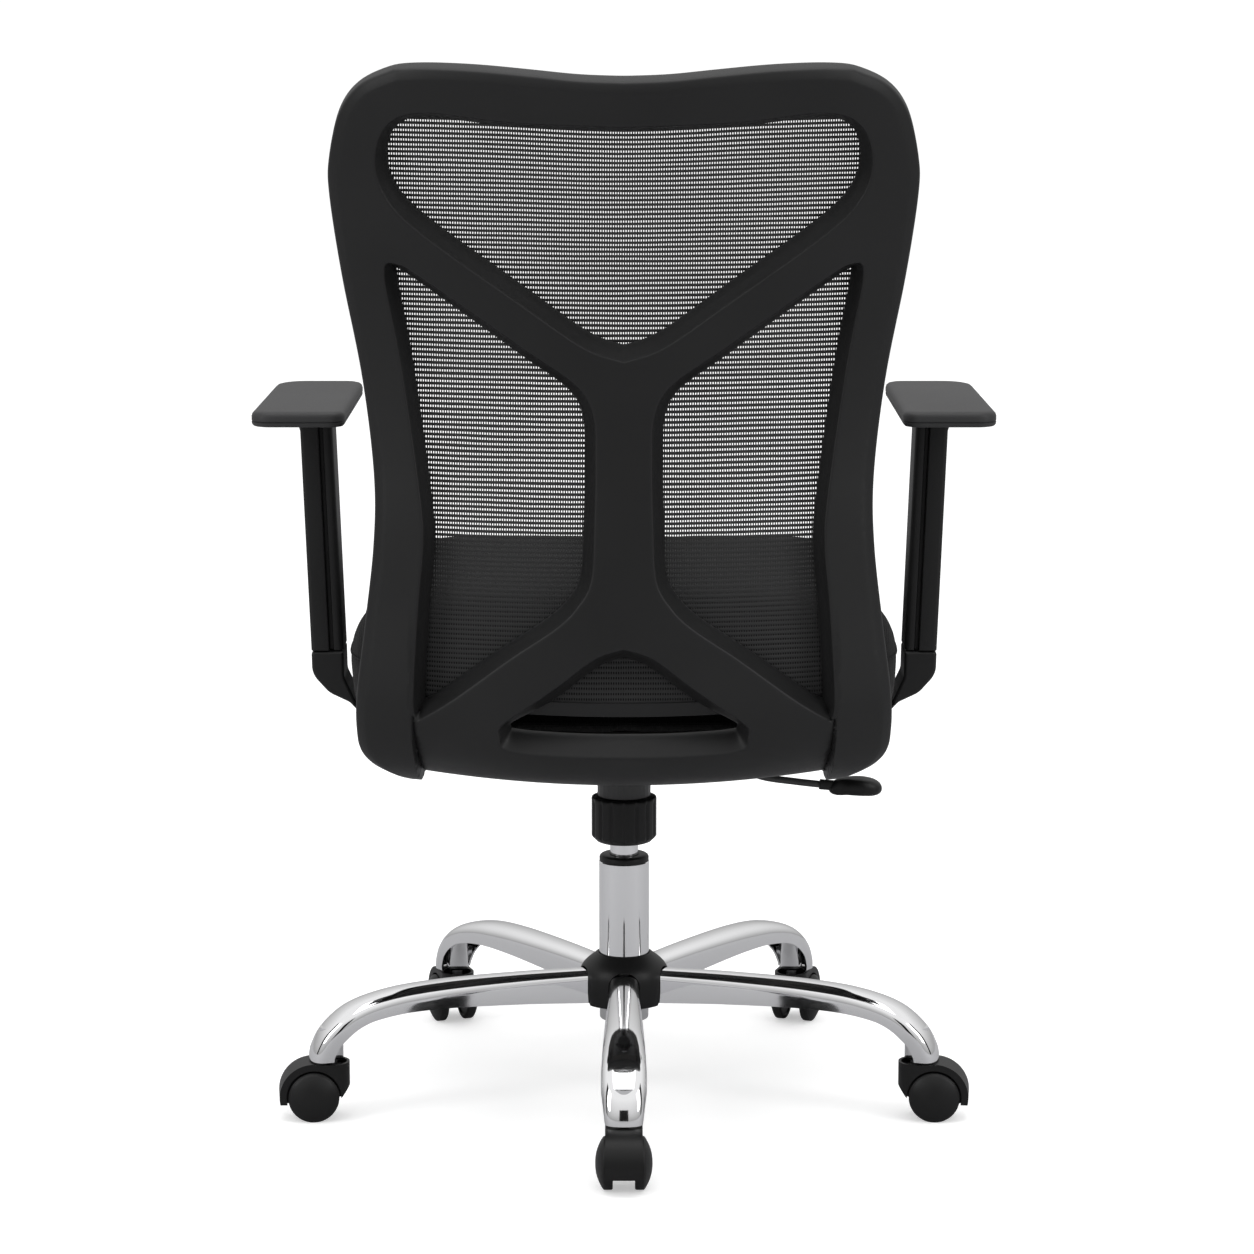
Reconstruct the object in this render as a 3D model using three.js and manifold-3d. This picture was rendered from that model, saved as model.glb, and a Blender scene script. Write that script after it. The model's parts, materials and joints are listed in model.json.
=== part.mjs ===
// A swivel office chair: a five-leg pressed-steel base on twin-wheel casters, a gas lift, a tilt
// mechanism with a release lever and a tension knob, a padded seat, two T arms, and a moulded back
// frame that carries a stretched mesh panel.
// Millimetres, +Z up. The sitter faces -Y, and the sitter's right is -X.
import * as THREE from "three";
import { mergeVertices } from "three/addons/utils/BufferGeometryUtils.js";
import Module from "manifold-3d";

const wasm = await Module();
wasm.setup();

// ---------------------------------------------------------------- driving dimensions
const gap = 0.3; // between pieces that touch

const wheelRadius = 25;
const wheelSides = 20;
const wheelHeight = wheelRadius * Math.cos(Math.PI / wheelSides); // it rests on one flat side
const casterHalfWidth = 26.8;
const casterTrail = 18.5;
const casterTurns = [0, 12.5, 17, -17, -12.5]; // degrees each caster has swivelled from straight out
const webHalf = 9.5; // half the thickness of the hood's middle web
const fenderRadius = 33.5;
const pocketRadius = 26.8;
const housingRadius = 17.5;
const hoodTop = 57;
const stemRadius = 5.5;
const stemBottom = 39;
const axleRadius = 4;

const legCount = 5;
const stemCircle = 302;
const legFoot = 60; // height of the leg's lower end
const legWall = 3;

const columnRadius = 25;
const columnBottom = 76;
const columnTop = 237;
const ringTop = 243.5;
const pistonRadius = 14;
const pistonTop = 338;
const pinRadius = 4; // valve pin in a recess at the top of the pressure tube
const pinBottom = 337;
const pinTravel = 3.6;
const rodRadius = 5;

const housingFloor = 324;
const housingRim = 343;
const housingHalf = 55;
const sheet = 3; // thickness of pressed steel
const tiltAxisY = -35;
const tiltAxisZ = 358;
const tiltPinRadius = 5;
const leverY = 6;
const leverZ = 348;
const leverPivotX = -44;
const leverRadius = 3.5;
const knobY = 62;
const knobRadius = 32;
const knobBottom = 272;
const knobTop = 317;
const cupRadius = 26;

const panBottom = 388.3; // underside of the plywood seat pan
const panThickness = 12;
const seatHalf = 272;
const seatFront = -285;
const seatRear = 197;
const seatTop = 516;

const armHalfDepth = 29;
const armSeam = 454;
const padBottom = 688;
const padTop = 703;

const backThickness = 25;
const backStart = { y: 75, z: 363 }; // front end of the back frame's feet
const backHollow = 600; // radius of the back's sideways curve
const meshGap = 1.2; // between the frame and the mesh's edging
const heelDroop = 9; // how much lower the crossbar is in the middle than beside the rails
const meshLow = 212; // where the mesh ends at the bottom, along the side profile
// The back's side profile, from its feet up: a chain of tangent arcs, each a length and a turn.
const backArcs = [
  { length: 100, turn: 0 },
  { length: 136, turn: 90 },
  { length: 195, turn: 5 },
  { length: 200, turn: -19 },
  { length: 220, turn: -2 },
];

// ---------------------------------------------------------------- materials
function material(color, roughness, metalness) {
  return new THREE.MeshStandardMaterial({ color, roughness, metalness });
}
const blackPlastic = () => material(0x28292b, 0.55, 0);
const padPlastic = () => material(0x333436, 0.6, 0);
const chrome = () => material(0xd8dadc, 0.12, 1);
const steel = () => material(0x9a9c9f, 0.35, 1);
const blackSteel = () => material(0x1c1c1e, 0.5, 0.6);
const plywood = () => material(0x9b7b52, 0.8, 0);
const fabric = () => material(0x121214, 0.95, 0);
const meshFabric = () => material(0x1a1a1c, 0.9, 0);

// ---------------------------------------------------------------- solids
// A closed geometry as a manifold solid, turned outwards if its faces point in.
function solid(geometry) {
  const bare = geometry.clone();
  bare.deleteAttribute("normal");
  bare.deleteAttribute("uv");
  const merged = mergeVertices(bare, 1e-3);
  const triVerts = new Uint32Array(merged.index.array);
  const vertProperties = merged.attributes.position.array;
  const made = new wasm.Manifold(new wasm.Mesh({ numProp: 3, vertProperties, triVerts }));
  if (made.volume() > 0) return made;
  for (let i = 0; i < triVerts.length; i += 3) {
    [triVerts[i + 1], triVerts[i + 2]] = [triVerts[i + 2], triVerts[i + 1]];
  }
  return new wasm.Manifold(new wasm.Mesh({ numProp: 3, vertProperties, triVerts }));
}

function geometryOf(made) {
  const mesh = made.getMesh();
  const geometry = new THREE.BufferGeometry();
  geometry.setAttribute("position", new THREE.BufferAttribute(mesh.vertProperties, 3));
  geometry.setIndex(new THREE.BufferAttribute(mesh.triVerts, 1));
  geometry.computeVertexNormals();
  return geometry;
}

function join(first, ...rest) {
  return rest.reduce((sum, piece) => sum.add(piece), first);
}

function cut(first, ...rest) {
  return rest.reduce((left, piece) => left.subtract(piece), first);
}

// A profile of [radius, height] points turned about Z.
function turned(profile, sides = 24, x = 0, y = 0) {
  const points = profile.map(([r, z]) => new THREE.Vector2(r, z));
  const geometry = new THREE.LatheGeometry(points, sides);
  return solid(geometry.rotateX(Math.PI / 2).translate(x, y, 0));
}

function rod(radius, z0, z1, sides = 24, x = 0, y = 0) {
  return turned([[0, z0], [radius, z0], [radius, z1], [0, z1]], sides, x, y);
}

function pipe(inner, outer, z0, z1, sides = 24, x = 0, y = 0) {
  const loop = [[inner, z0], [outer, z0], [outer, z1], [inner, z1], [inner, z0]];
  return turned(loop, sides, x, y);
}

function box(x0, x1, y0, y1, z0, z1) {
  const geometry = new THREE.BoxGeometry(x1 - x0, y1 - y0, z1 - z0);
  return solid(geometry.translate((x0 + x1) / 2, (y0 + y1) / 2, (z0 + z1) / 2));
}

// A round bar along X.
function crossBar(radius, x0, x1, y, z, sides = 16) {
  const geometry = new THREE.CylinderGeometry(radius, radius, x1 - x0, sides);
  return solid(geometry.rotateZ(Math.PI / 2).translate((x0 + x1) / 2, y, z));
}

// A polygon of [x, y, corner radius] with each corner rounded by an arc.
function roundedShape(corners, steps = 5) {
  const outline = [];
  corners.forEach(([x, y, radius], i) => {
    const at = new THREE.Vector2(x, y);
    const before = corners[(i + corners.length - 1) % corners.length];
    const after = corners[(i + 1) % corners.length];
    const back = new THREE.Vector2(before[0] - x, before[1] - y).normalize();
    const on = new THREE.Vector2(after[0] - x, after[1] - y).normalize();
    if (!radius) {
      outline.push(at);
      return;
    }
    const half = Math.acos(THREE.MathUtils.clamp(back.dot(on), -1, 1)) / 2;
    const centre = back.clone().add(on).normalize().multiplyScalar(radius / Math.sin(half)).add(at);
    const start = back.multiplyScalar(radius / Math.tan(half)).add(at).sub(centre);
    const end = on.multiplyScalar(radius / Math.tan(half)).add(at).sub(centre);
    const sweep = Math.atan2(start.cross(end), start.dot(end));
    for (let k = 0; k <= steps; k++) {
      const turnedBy = start.clone().rotateAround(new THREE.Vector2(), (sweep * k) / steps);
      outline.push(turnedBy.add(centre));
    }
  });
  return new THREE.Shape(outline);
}

function extruded(shape, depth) {
  return new THREE.ExtrudeGeometry(shape, { depth, bevelEnabled: false, curveSegments: 6 });
}

// A shape drawn in X and Z, given a thickness along Y.
function uprightPlate(shape, y0, y1) {
  return solid(extruded(shape, y1 - y0).rotateX(Math.PI / 2).translate(0, y1, 0));
}

// A shape drawn in X and Y, given a thickness along Z.
function flatPlate(shape, z0, z1) {
  return solid(extruded(shape, z1 - z0).translate(0, 0, z0));
}

// A skin of quads over rings of points that all have the same count, closed at both ends.
function lofted(rings) {
  const count = rings[0].length;
  const positions = [];
  const index = [];
  rings.forEach((ring) => ring.forEach((p) => positions.push(p.x, p.y, p.z)));
  for (let i = 0; i + 1 < rings.length; i++) {
    for (let k = 0; k < count; k++) {
      const a = i * count + k;
      const b = i * count + ((k + 1) % count);
      index.push(a, b, b + count, a, b + count, a + count);
    }
  }
  const flat = rings.map((ring) => ring.map((p) => p.flat));
  const capOf = flat[0];
  THREE.ShapeUtils.triangulateShape(capOf, []).forEach(([a, b, c]) => {
    const last = (rings.length - 1) * count;
    index.push(a, c, b, last + a, last + b, last + c);
  });
  const geometry = new THREE.BufferGeometry();
  geometry.setAttribute("position", new THREE.Float32BufferAttribute(positions, 3));
  geometry.setIndex(index);
  return solid(geometry);
}

function named(name, made, makeMaterial) {
  const mesh = new THREE.Mesh(geometryOf(made), makeMaterial());
  mesh.name = name;
  return mesh;
}

// ---------------------------------------------------------------- one caster
// Drawn with the stem on the local origin and the wheels trailing along +X.
function wheel(side) {
  const profile = [
    [0, casterHalfWidth], [9, casterHalfWidth - 1], [16, casterHalfWidth - 3],
    [21.5, casterHalfWidth - 5.8], [24.2, casterHalfWidth - 8], [wheelRadius, casterHalfWidth - 10],
    [wheelRadius, webHalf + 2.3], [23.5, webHalf + 0.8],
    [axleRadius + gap, webHalf + 0.8], [axleRadius + gap, 18], [0, 18],
  ];
  const points = profile.map(([r, y]) => new THREE.Vector2(r, y));
  const geometry = new THREE.LatheGeometry(points, wheelSides);
  geometry.rotateY(Math.PI / wheelSides);
  if (side < 0) geometry.rotateX(Math.PI);
  return solid(geometry.translate(casterTrail, 0, wheelHeight));
}

function hoodOutline() {
  const outline = new THREE.Shape();
  const front = -housingRadius;
  const drop = 7; // the fender's tip below the axle
  outline.moveTo(front, hoodTop);
  outline.lineTo(front, wheelHeight + 9);
  outline.lineTo(front + 8, wheelHeight - 1);
  outline.lineTo(casterTrail - 9, wheelHeight - axleRadius - 5);
  outline.lineTo(casterTrail + 9, wheelHeight - axleRadius - 5);
  const from = Math.asin(-drop / fenderRadius);
  outline.lineTo(casterTrail + fenderRadius * Math.cos(from) - 6, wheelHeight - drop);
  outline.absarc(casterTrail, wheelHeight, fenderRadius, from, Math.PI * 0.52, false);
  outline.lineTo(housingRadius, hoodTop);
  return outline;
}

function caster(index) {
  const group = new THREE.Group();
  const reach = casterHalfWidth + 1;
  let hood = uprightPlate(hoodOutline(), -housingRadius, housingRadius);
  const rounding = join(
    rod(housingRadius, 0, hoodTop + 1, 24),
    box(0, casterTrail + fenderRadius + 1, -reach, reach, 0, hoodTop + 5),
  );
  hood = hood.intersect(rounding);
  for (const side of [-1, 1]) {
    const pocket = new THREE.CylinderGeometry(pocketRadius, pocketRadius, reach - webHalf, 28);
    hood = hood.subtract(solid(pocket.translate(casterTrail, side * (reach + webHalf) / 2, wheelHeight)));
  }
  const bore = new THREE.CylinderGeometry(axleRadius + gap, axleRadius + gap, 2 * reach, 16);
  hood = cut(
    hood,
    solid(bore.translate(casterTrail, 0, wheelHeight)),
    rod(stemRadius + gap, stemBottom, hoodTop + 5, 16),
    pipe(stemRadius, housingRadius - 3, hoodTop - 5, hoodTop + 5, 20),
  );
  const axleHalf = 17.5;
  const axle = new THREE.CylinderGeometry(axleRadius, axleRadius, 2 * axleHalf, 16);
  group.add(
    named(`caster_${index}_hood`, hood, blackPlastic),
    named(`caster_${index}_stem`, rod(stemRadius, stemBottom + gap, 92, 16), steel),
    named(`caster_${index}_axle`, solid(axle.translate(casterTrail, 0, wheelHeight)), steel),
    named(`caster_${index}_wheel_a`, wheel(1), blackPlastic),
    named(`caster_${index}_wheel_b`, wheel(-1), blackPlastic),
  );
  return group;
}

// ---------------------------------------------------------------- one leg
// The outline of an arch, as [across, down] points from one foot over the crown to the other.
function arch(half, crown, deep) {
  const drop = Math.min(0.62 * deep, 0.75 * half);
  const shoulder = [[1, 1], [0.95, 0.62], [0.76, 0.28], [0.4, 0.06]];
  const side = shoulder.map(([across, down]) => [half * across, crown + drop * down]);
  const near = side.map(([across, down]) => [-across, down]);
  return [[-half, deep], ...near, ...side.reverse(), [half, deep]];
}

// An inverted channel whose outer face follows a curve from the hub out and down to the caster.
// Solid gives the same outer shape, filled in.
function legShell(solidInside) {
  const outer = new THREE.CatmullRomCurve3(
    [[31, 129], [110, 130.5], [190, 129.5], [243, 124.5], [284, 112.5], [310.5, 92], [322, 72],
      [324, legFoot]].map(([r, z]) => new THREE.Vector3(r, 0, z)),
  );
  const stations = 11;
  const rings = [];
  for (let i = 0; i <= stations; i++) {
    const t = i / stations;
    const at = outer.getPointAt(t);
    const along = outer.getTangentAt(t);
    if (i === 0) along.set(1, 0, 0);
    if (i === stations) along.set(0, 0, -1);
    const inward = new THREE.Vector3(along.z, 0, -along.x);
    const narrowing = Math.max(0, (t - 0.86) / 0.14);
    const wide = THREE.MathUtils.lerp(28, 43, Math.min(1, t / 0.8)) - 7 * narrowing;
    const deep = THREE.MathUtils.lerp(33, 20, Math.min(1, t / 0.75));
    const outside = arch(wide / 2, 0, deep);
    const inside = arch(wide / 2 - legWall, legWall, deep).reverse();
    const section = solidInside ? outside : [...outside, ...inside];
    rings.push(section.map(([across, down]) => {
      const point = at.clone().addScaledVector(inward, down);
      point.y = across;
      point.flat = new THREE.Vector2(across, down);
      return point;
    }));
  }
  return lofted(rings);
}

function leg() {
  const socket = rod(11.5, legFoot, 120, 20, stemCircle, 0);
  const inside = join(legShell(true), box(290, 320, -12, 12, legFoot, 75));
  const bore = rod(stemRadius + gap, legFoot - 1, 92.5, 20, stemCircle, 0);
  return cut(join(legShell(false), socket.intersect(inside)), bore);
}

// The direction in which a leg points, the first one straight back.
function legAngle(i) {
  return Math.PI / 2 + (i * 2 * Math.PI) / legCount;
}

function base() {
  const group = new THREE.Group();
  let cover = turned([
    [29.5, 94], [43, 94], [45, 98], [45, 120], [43.5, 127], [40, 133], [34, 138.5], [29, 142],
    [26.5, 143.5], [columnRadius + gap, 143.5], [columnRadius + gap, 134], [29.5, 134], [29.5, 94],
  ], 30);
  const slotReach = 85; // how far out the tool that cuts a leg's slot starts
  for (let i = 0; i < legCount; i++) {
    const angle = legAngle(i);
    const slot = roundedShape([[-16, 80, 0], [16, 80, 0], [16, 130.5, 13], [-16, 130.5, 13]], 4);
    const tool = extruded(slot, 60).rotateX(Math.PI / 2);
    tool.rotateZ(angle - Math.PI / 2).translate(slotReach * Math.cos(angle), slotReach * Math.sin(angle), 0);
    cover = cover.subtract(solid(tool));
  }
  group.add(named("hub_cover", cover, blackPlastic));
  group.add(named("hub_socket", pipe(columnRadius + gap, 29, 92, 133, 32), steel));
  const legSolid = leg();
  for (let i = 0; i < legCount; i++) {
    const angle = legAngle(i);
    const legMesh = named(`leg_${i + 1}`, legSolid, chrome);
    legMesh.rotation.z = angle;
    group.add(legMesh);
    const wheels = caster(i + 1);
    wheels.position.set(stemCircle * Math.cos(angle), stemCircle * Math.sin(angle), 0);
    wheels.rotation.z = angle + THREE.MathUtils.degToRad(casterTurns[i]);
    group.add(wheels);
  }
  return group;
}

// ---------------------------------------------------------------- gas lift
function gasLift() {
  const group = new THREE.Group();
  const bore = columnRadius - 2.5;
  const floorTop = columnBottom + 8;
  const column = turned([
    [rodRadius + 1, columnBottom + 4], [columnRadius - 4, columnBottom + 4],
    [columnRadius - 3, columnBottom], [columnRadius - 1, columnBottom], [columnRadius, 135],
    [columnRadius, columnTop], [bore, columnTop], [bore, floorTop], [rodRadius + 1, floorTop],
    [rodRadius + 1, columnBottom + 4],
  ], 28);
  const guide = turned([
    [pistonRadius + gap, 195], [bore - gap, 195], [bore - gap, columnTop + gap],
    [columnRadius - 0.5, columnTop + gap], [columnRadius - 0.5, ringTop - 2],
    [columnRadius - 2.5, ringTop], [pistonRadius + gap, ringTop], [pistonRadius + gap, 195],
  ], 28);
  const boreTop = 312;
  const pressureTube = turned([
    [rodRadius + gap, 150], [pistonRadius, 150], [pistonRadius, 300], [pistonRadius - 1, pistonTop],
    [pinRadius + gap, pistonTop], [pinRadius + gap, pinBottom - pinTravel - gap],
    [0, pinBottom - pinTravel - gap], [0, boreTop], [rodRadius + gap, boreTop],
    [rodRadius + gap, 150],
  ], 24);
  const clip = rod(9, columnBottom, columnBottom + 3.5, 20);
  const piston = join(rod(rodRadius, columnBottom, 250, 20), clip);
  group.add(
    named("lift_column", column, chrome),
    named("lift_guide_ring", guide, blackPlastic),
    named("lift_pressure_tube", pressureTube, chrome),
    named("lift_piston_rod", piston, steel),
    named("lift_thrust_bearing", pipe(rodRadius + gap, 14, floorTop + gap, floorTop + 8, 20), steel),
    named("release_pin", rod(pinRadius, pinBottom, leverZ - leverRadius - gap, 16), steel),
  );
  return group;
}

// ---------------------------------------------------------------- tilt mechanism
function mechanismHousing() {
  const front = -75;
  const rear = 28;
  const shelfRear = 94;
  const inside = housingHalf - sheet;
  let tray = box(-housingHalf, housingHalf, front, rear, housingFloor, housingRim);
  tray = tray.subtract(box(-inside, inside, front + sheet, rear - sheet, housingFloor + sheet, 400));
  const ears = [-1, 1].map((side) => {
    const x = side * (housingHalf - sheet / 2);
    const [near, far] = [tiltAxisY - 14, tiltAxisY + 14];
    return box(x - sheet / 2, x + sheet / 2, near, far, housingRim - 5, tiltAxisZ + 10);
  });
  const shelf = box(-40, 40, rear - sheet, shelfRear, housingRim - 4, housingRim);
  const socket = rod(21, 300, housingFloor + 8, 24);
  const cup = rod(cupRadius, knobTop + 1, housingRim, 28, 0, knobY);
  return cut(
    join(tray, ...ears, shelf, socket, cup),
    rod(pistonRadius + gap, 290, housingFloor + 10, 24),
    rod(cupRadius - sheet, knobTop + 4, housingRim + 1, 28, 0, knobY),
    rod(rodRadius + gap, knobTop, knobTop + 5, 16, 0, knobY),
    crossBar(tiltPinRadius + gap, -80, 80, tiltAxisY, tiltAxisZ),
  );
}

function tiltPlate() {
  const top = panBottom - gap;
  const plate = box(-95, 95, -120, 95, top - sheet, top);
  const flanges = [-1, 1].map((side) => {
    const x = side * (housingHalf + 4.5);
    return box(x - sheet / 2, x + sheet / 2, tiltAxisY - 24, tiltAxisY + 24, tiltAxisZ - 12, top - 1);
  });
  return cut(join(plate, ...flanges), crossBar(tiltPinRadius + gap, -80, 80, tiltAxisY, tiltAxisZ));
}

// A compression spring as one closed wire: a helix of round section.
class Helix extends THREE.Curve {
  constructor(radius, z0, z1, turns) {
    super();
    Object.assign(this, { radius, z0, z1, turns });
  }

  getPoint(t, target = new THREE.Vector3()) {
    const angle = 2 * Math.PI * this.turns * t;
    const z = THREE.MathUtils.lerp(this.z0, this.z1, t);
    return target.set(this.radius * Math.cos(angle), this.radius * Math.sin(angle), z);
  }
}

function spring(radius, wire, z0, z1, turns) {
  const section = new THREE.Shape().absarc(0, 0, wire, 0, 2 * Math.PI);
  const path = new Helix(radius, z0 + wire, z1 - wire, turns);
  const steps = turns * 10;
  return new THREE.ExtrudeGeometry(section, { extrudePath: path, steps, curveSegments: 3 });
}

function ribbedKnob() {
  const ribs = 30;
  const outline = new THREE.Shape();
  for (let i = 0; i < 2 * ribs; i++) {
    const radius = i % 2 ? knobRadius : knobRadius - 1.6;
    const angle = (i * Math.PI) / ribs;
    outline[i ? "lineTo" : "moveTo"](radius * Math.cos(angle), radius * Math.sin(angle));
  }
  const body = flatPlate(outline, knobBottom, knobTop);
  const envelope = turned([
    [0, knobBottom], [knobRadius - 6, knobBottom], [knobRadius + 1, knobBottom + 7],
    [knobRadius + 1, knobTop - 2], [knobRadius - 2, knobTop], [0, knobTop],
  ], 32);
  return body.intersect(envelope).translate([0, knobY, 0]);
}

function lever() {
  const path = new THREE.CatmullRomCurve3(
    [[8, leverZ], [-30, leverZ], [-78, 346], [-108, 335], [-137, 323.5], [-170, 318.5], [-196, 315.5]]
      .map(([x, z]) => new THREE.Vector3(x, leverY, z)),
  );
  const section = new THREE.Shape().absarc(0, 0, leverRadius, 0, 2 * Math.PI);
  return solid(new THREE.ExtrudeGeometry(section, { extrudePath: path, steps: 14, curveSegments: 4 }));
}

// The paddle: a kidney-shaped grip, thickest in the middle, with a collar over the rod's end.
function paddle() {
  const outline = new THREE.Shape();
  outline.moveTo(-204, -7);
  outline.bezierCurveTo(-216, -17, -240, -18, -251, -10);
  outline.bezierCurveTo(-261, 2, -254, 18, -237, 18);
  outline.bezierCurveTo(-222, 18, -216, 9, -204, 7);
  const half = 8.5;
  const plate = flatPlate(outline, -half, half);
  const lens = new THREE.SphereGeometry(1, 20, 12).scale(36, 28, half).translate(-228, 0, 0);
  const grip = plate.intersect(solid(lens));
  const collarShape = new THREE.CylinderGeometry(6, 5, 12, 16).rotateZ(Math.PI / 2);
  const collar = solid(collarShape.translate(-203.5, 0, 0));
  return join(grip, collar).translate([0, leverY, 314.5]);
}

function mechanism() {
  const group = new THREE.Group();
  const seatDisc = knobTop + 12;
  const springTop = panBottom - gap - sheet - gap;
  const pivot = new THREE.CylinderGeometry(7, 7, 16, 20).translate(leverPivotX, leverY, leverZ);
  const rodHole = crossBar(leverRadius + 2 * gap, leverPivotX - 20, leverPivotX + 20, leverY, leverZ);
  const wire = spring(17, 2.2, seatDisc + 4 + gap, springTop, 5).translate(0, knobY, 0);
  const paddleSolid = paddle();
  const rodSolid = lever().subtract(crossBar(20, -260, -197.2, leverY, 313.5));
  group.add(
    named("mechanism_housing", mechanismHousing(), blackSteel),
    named("tilt_plate", tiltPlate(), blackSteel),
    named("tilt_pin", crossBar(tiltPinRadius, -64, 64, tiltAxisY, tiltAxisZ), steel),
    named("tension_knob", ribbedKnob(), blackPlastic),
    named("tension_bolt", rod(rodRadius, knobTop + gap, 346, 16, 0, knobY), steel),
    named("spring_seat", pipe(rodRadius + gap, 21, seatDisc, seatDisc + 4, 24, 0, knobY), steel),
    named("tension_spring", solid(wire), steel),
    named("lever_pivot", solid(pivot).subtract(rodHole), blackPlastic),
    named("lever_rod", rodSolid, blackSteel),
    named("lever_paddle", paddleSolid, blackPlastic),
  );
  return group;
}

// ---------------------------------------------------------------- seat
const seatPlan = roundedShape([
  [seatHalf, seatRear, 100], [-seatHalf, seatRear, 100],
  [-seatHalf + 8, seatFront, 75], [seatHalf - 8, seatFront, 75],
], 8);

// A ring of the seat's plan, moved in by some distance and held at one height.
function seatRing(inset, z) {
  const outline = seatPlan.getPoints();
  const middle = (seatFront + seatRear) / 2;
  const shrinkX = (seatHalf - inset) / seatHalf;
  const shrinkY = (seatRear - middle - inset) / (seatRear - middle);
  return outline.map((p) => {
    const point = new THREE.Vector3(p.x * shrinkX, middle + (p.y - middle) * shrinkY, z);
    point.flat = new THREE.Vector2(point.x, point.y);
    return point;
  });
}

function seatCushion() {
  const bottom = panBottom + panThickness + gap;
  return lofted([
    seatRing(22, bottom), seatRing(7, bottom + 10), seatRing(0, bottom + 27), seatRing(0, bottom + 72),
    seatRing(5, bottom + 92), seatRing(16, bottom + 105), seatRing(40, seatTop - 2),
    seatRing(120, seatTop),
  ]);
}

function seatPan() {
  const plan = roundedShape([[220, 158, 100], [-220, 158, 100], [-214, -262, 70], [214, -262, 70]], 6);
  return flatPlate(plan, panBottom, panBottom + panThickness);
}

// ---------------------------------------------------------------- arms, drawn for +X
function arm(side, label) {
  const group = new THREE.Group();
  const under = panBottom - gap;
  const bracket = roundedShape([
    [125, under, 0], [125, under - 11, 0], [246, under - 11, 24], [270, 403, 12], [290, 412.5, 24],
    [306.5, 431, 22], [307, armSeam, 0], [275.5, armSeam, 0], [275, 428, 14], [263, 402, 12],
    [236, under, 14],
  ], 4);
  const post = roundedShape([
    [275.5, armSeam + gap, 0], [307, armSeam + gap, 0], [315.5, padBottom - gap, 0],
    [284.5, padBottom - gap, 0],
  ]);
  const pad = roundedShape([[355, 128, 18], [265.5, 128, 14], [262, -127, 18], [348, -127, 30]], 5);
  const padBevel = { depth: padTop - padBottom - 6, bevelSize: 3, bevelThickness: 3, bevelSegments: 1 };
  const padSolid = solid(new THREE.ExtrudeGeometry(pad, { ...padBevel, bevelOffset: -3 }))
    .translate([0, 0, padBottom + 3]);
  const pieces = [
    named(`arm_bracket_${label}`, uprightPlate(bracket, -armHalfDepth, armHalfDepth), blackPlastic),
    named(`arm_post_${label}`, uprightPlate(post, -armHalfDepth, armHalfDepth), blackPlastic),
    named(`arm_pad_${label}`, padSolid, padPlastic),
  ];
  group.add(...pieces);
  group.scale.x = side;
  return group;
}

// ---------------------------------------------------------------- back
// A point of the back's surface: x across, s along the side profile, t in from the rear face.
function onBack(x, s, t) {
  let { y, z } = backStart;
  let heading = 0;
  let left = s;
  for (const { length, turn } of backArcs) {
    const run = Math.min(left, length);
    const bend = (THREE.MathUtils.degToRad(turn) * run) / length;
    const chord = Math.abs(bend) < 1e-9 ? run : (2 * run * Math.sin(bend / 2)) / bend;
    y += chord * Math.cos(heading + bend / 2);
    z += chord * Math.sin(heading + bend / 2);
    heading += bend;
    left -= run;
    if (left <= 0) break;
  }
  const forward = (x * x) / (2 * backHollow);
  const across = Math.max(0, 1 - (x / 195) ** 2);
  const along = THREE.MathUtils.smoothstep(s, 40, 100) * (1 - THREE.MathUtils.smoothstep(s, 190, 280));
  const droop = heelDroop * across * along;
  return new THREE.Vector3(x, y - t * Math.sin(heading) - forward, z + t * Math.cos(heading) - droop);
}

// The frame's outer edge, from the feet under the seat, over the heel and the waist, to the shoulder.
const backEdge = new THREE.CatmullRomCurve3(
  [[200, 0], [200, 70], [203, 104], [224, 135], [247, 168], [252, 195], [251, 235], [243, 298],
    [234, 375], [233, 440], [243, 530], [260, 625], [270, 705], [269, 742], [258, 785], [238, 811],
    [206, 826]].map(([x, s]) => new THREE.Vector3(x, s, 0)),
  false, "catmullrom", 0.5,
);
const topDip = 10; // how much lower the top edge is in the middle than at the shoulders
const shoulder = 826;
// Half outlines of the windows, in x and s.
const topWindow = [
  [0, 774], [100, 778], [180, 786], [213, 774], [225, 741], [216, 706], [184, 672], [91, 604],
  [36, 566], [0, 553],
];
const slotWindow = [
  [0, 285], [26, 276], [60, 252], [110, 218], [115, 204], [108, 190], [60, 187], [0, 187],
];
const sideWindow = [
  [208, 641], [219, 630], [205, 545], [188, 420], [186, 375], [191, 319], [196, 240], [194, 214],
  [185, 218], [110, 273], [64, 305], [44, 325], [31, 350], [28, 400], [27, 460], [29, 502],
  [45, 530], [92, 563], [178, 623],
];

function spline(points, pieces, closed) {
  const loop = points.map(([x, s]) => new THREE.Vector3(x, s, 0));
  const curve = new THREE.CatmullRomCurve3(loop, closed, "catmullrom", 0.5);
  return curve.getPoints(pieces).slice(0, closed ? pieces : pieces + 1).map((p) => [p.x, p.y]);
}

// An open half outline whose two ends lie on x = 0, with its mirror image.
function symmetric(half) {
  const other = half.filter(([x]) => x > 0.01).reverse().map(([x, s]) => [-x, s]);
  return [...half, ...other];
}

// An outline in x and s as a prism along Y, through the upright part of the back.
function windowTool(outline) {
  const shape = new THREE.Shape(outline.map(([x, s]) => new THREE.Vector2(x, onBack(x, s, 0).z)));
  return uprightPlate(shape, 60, 400);
}

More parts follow.
